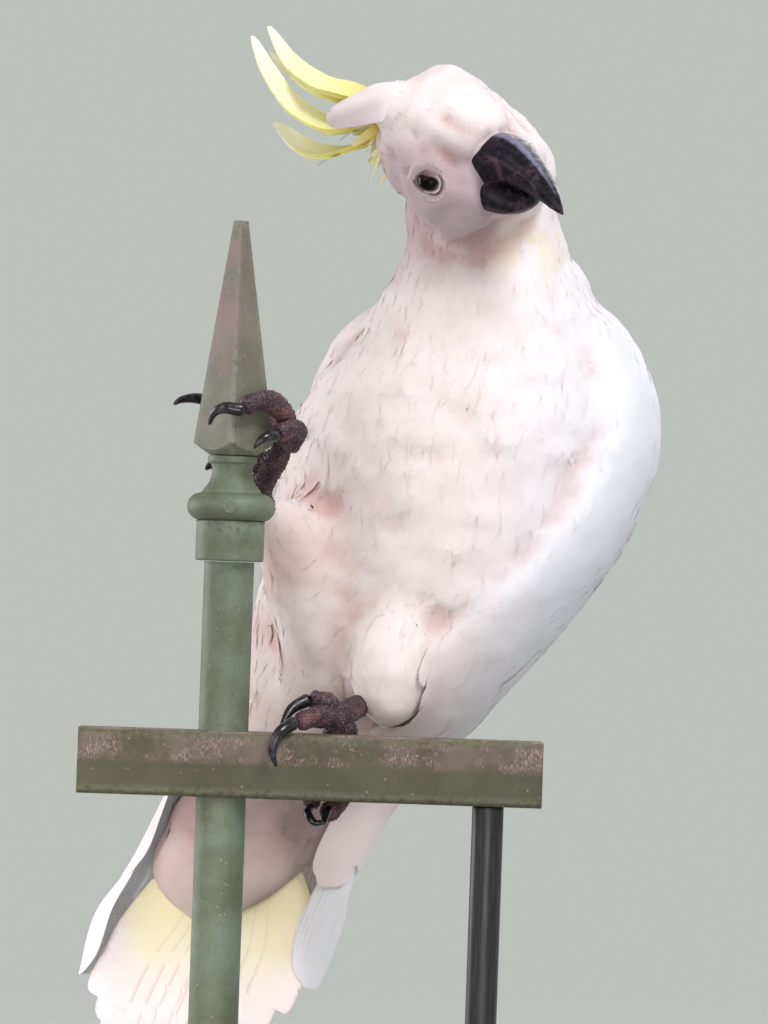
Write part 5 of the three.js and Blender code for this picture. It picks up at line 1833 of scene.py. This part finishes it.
# ---- stand ----
board_lacquer, t, shader = material("board_lacquer")
where = t.object_place()
rings_of_wood = t.noise(1.0, t.stretched(where, (6, 70, 70)), 5, 0.6, 1.0)
color = t.mix(t.ramp(rings_of_wood, 0.4, 0.62), (0.016, 0.013, 0.011), (0.050, 0.036, 0.027))
cover(t, shader, color, t.bump(rings_of_wood, 0.15, 0.0004), Roughness=0.38, Coat_Weight=0.3,
      Coat_Roughness=0.2)
rows = [(0, -1.0), (0.6, 0), (9.6, 0), (10.8, -0.5), (11.5, -1.2), (12.0, -2.2)]
outline, _ = rounded_square(BASE_SIZE[0], BASE_SIZE[1], BASE_CORNER, 12, 12)
rings = []
for z, inset in rows:
    scale = np.array([1 + 2 * inset / BASE_SIZE[0], 1 + 2 * inset / BASE_SIZE[1]])
    rings.append(np.column_stack([outline * scale, np.full(len(outline), float(z))]))
finish_piece(crisp(piece("board", *closed(np.array(rings)))), board_lacquer, "stand_board",
             "stand_base")

rod_steel, t, shader = material("rod_steel")
grain = t.noise(1.0, t.stretched(t.object_place(), (900, 900, 60)), 4)
cover(t, shader, t.mix(t.ramp(grain, 0.4, 0.6), (0.020, 0.020, 0.022), (0.035, 0.035, 0.038)),
      t.bump(grain, 0.2, 0.0002), Metallic=0.3, Roughness=0.36)
for number, x, top in ((1, PICKET_X, PICKET_BOTTOM - 0.3),
                       (2, ROD_2_X, RAIL_TOP - RAIL_SIZE - 0.3)):
    low = BASE_SIZE[2] + 0.3
    profile = [[0, low], [5.6, low], *arc(5.6, low + 0.4, 0.4, -90, 0, 4)]
    profile += [[ROD_RADIUS, z] for z in np.linspace(low + 2, top - 2, 8)]
    profile += [*arc(5.6, top - 0.4, 0.4, 0, 90, 4), [0, top]]
    finish_piece(turned_piece(f"rod_{number}", profile, 48, x), rod_steel, "stand_rod",
                 f"stand_rod_{number}")

# ---- floor, background and light ----
BACKGROUND = (0.50, 0.53, 0.50)
floor_paper, t, shader = material("floor_paper")
where = t.object_place()
cover(t, shader, BACKGROUND, Roughness=0.95)
clear = t.node("ShaderNodeBsdfTransparent").outputs[0]
distance = t.node("ShaderNodeVectorMath", operation="LENGTH", inputs={0: where}).outputs["Value"]
blend = t.node("ShaderNodeMixShader", inputs={0: t.ramp(distance, 0.25, 0.95)})
t.put(shader.outputs[0], blend.inputs[1])
t.put(clear, blend.inputs[2])
t.put(blend.outputs[0], floor_paper.node_tree.nodes["Material Output"].inputs["Surface"])
FLOOR_AROUND = 96
a = turns(FLOOR_AROUND)
disc = [np.array([[0.0, 0, 0]])] + [np.column_stack([r * np.cos(a), r * np.sin(a), 0 * a])
                                    for r in (300, 600, 1000)]
k = np.arange(FLOOR_AROUND)
after = (k + 1) % FLOOR_AROUND
faces = [np.stack([0 * k, 1 + k, 1 + after], -1)]
for inner in (1, 1 + FLOOR_AROUND):
    outer = inner + FLOOR_AROUND
    faces.append(np.stack([inner + k, outer + k, outer + after, inner + after], -1))
floor = piece("floor", np.vstack(disc), faces)
floor.data.materials.append(floor_paper)

world = bpy.data.worlds.new("studio")
scene.world = world
world.use_nodes = True
t = Tree(world.node_tree)
rays = t.node("ShaderNodeLightPath").outputs
seen = t.maths("MAXIMUM", t.maths("MAXIMUM", rays["Is Camera Ray"], rays["Is Glossy Ray"]),
               rays["Is Transmission Ray"])
sky = world.node_tree.nodes["Background"]
t.put(t.mix(seen, (0.31, 0.295, 0.31), BACKGROUND), sky.inputs["Color"])
sky.inputs["Strength"].default_value = 1.0


def lamp(name, place, aim, size, power, color, spread=180):
    """A large soft lamp at a place in metres, turned towards what it lights."""
    data = bpy.data.lights.new(name, "AREA")
    data.size, data.energy, data.color = size, power, color
    data.spread = math.radians(spread)
    obj = add_object(name, data)
    obj.location = place
    obj.rotation_euler = (Vector(aim) - Vector(place)).to_track_quat("-Z", "Y").to_euler()


lamp("key", (0.62, -0.85, 1.40), (0.02, 0.02, 0.26), 0.55, 16.4, (1.0, 0.985, 0.985))
lamp("fill", (-1.2, -1.1, 0.75), (0.0, 0.0, 0.22), 1.0, 8.0, (1.0, 0.93, 0.90))
lamp("back", (0.6, 1.0, 0.9), (0.0, 0.0, 0.25), 0.9, 7, (0.97, 0.98, 1.0))
lamp("edge", (-1.1, 0.45, 0.35), (-0.05, 0.02, 0.15), 0.7, 8, (0.97, 0.96, 1.0))
lamp("low", (0.1, -1.3, 0.05), (-0.04, 0.0, 0.05), 0.6, 5.0, (1.0, 0.96, 0.95))
lamp("tail", (-0.42, -0.80, 0.03), (-0.075, 0.10, 0.035), 0.16, 0.062, (1.0, 0.97, 0.95), 14)

scene.view_settings.view_transform = "Standard"
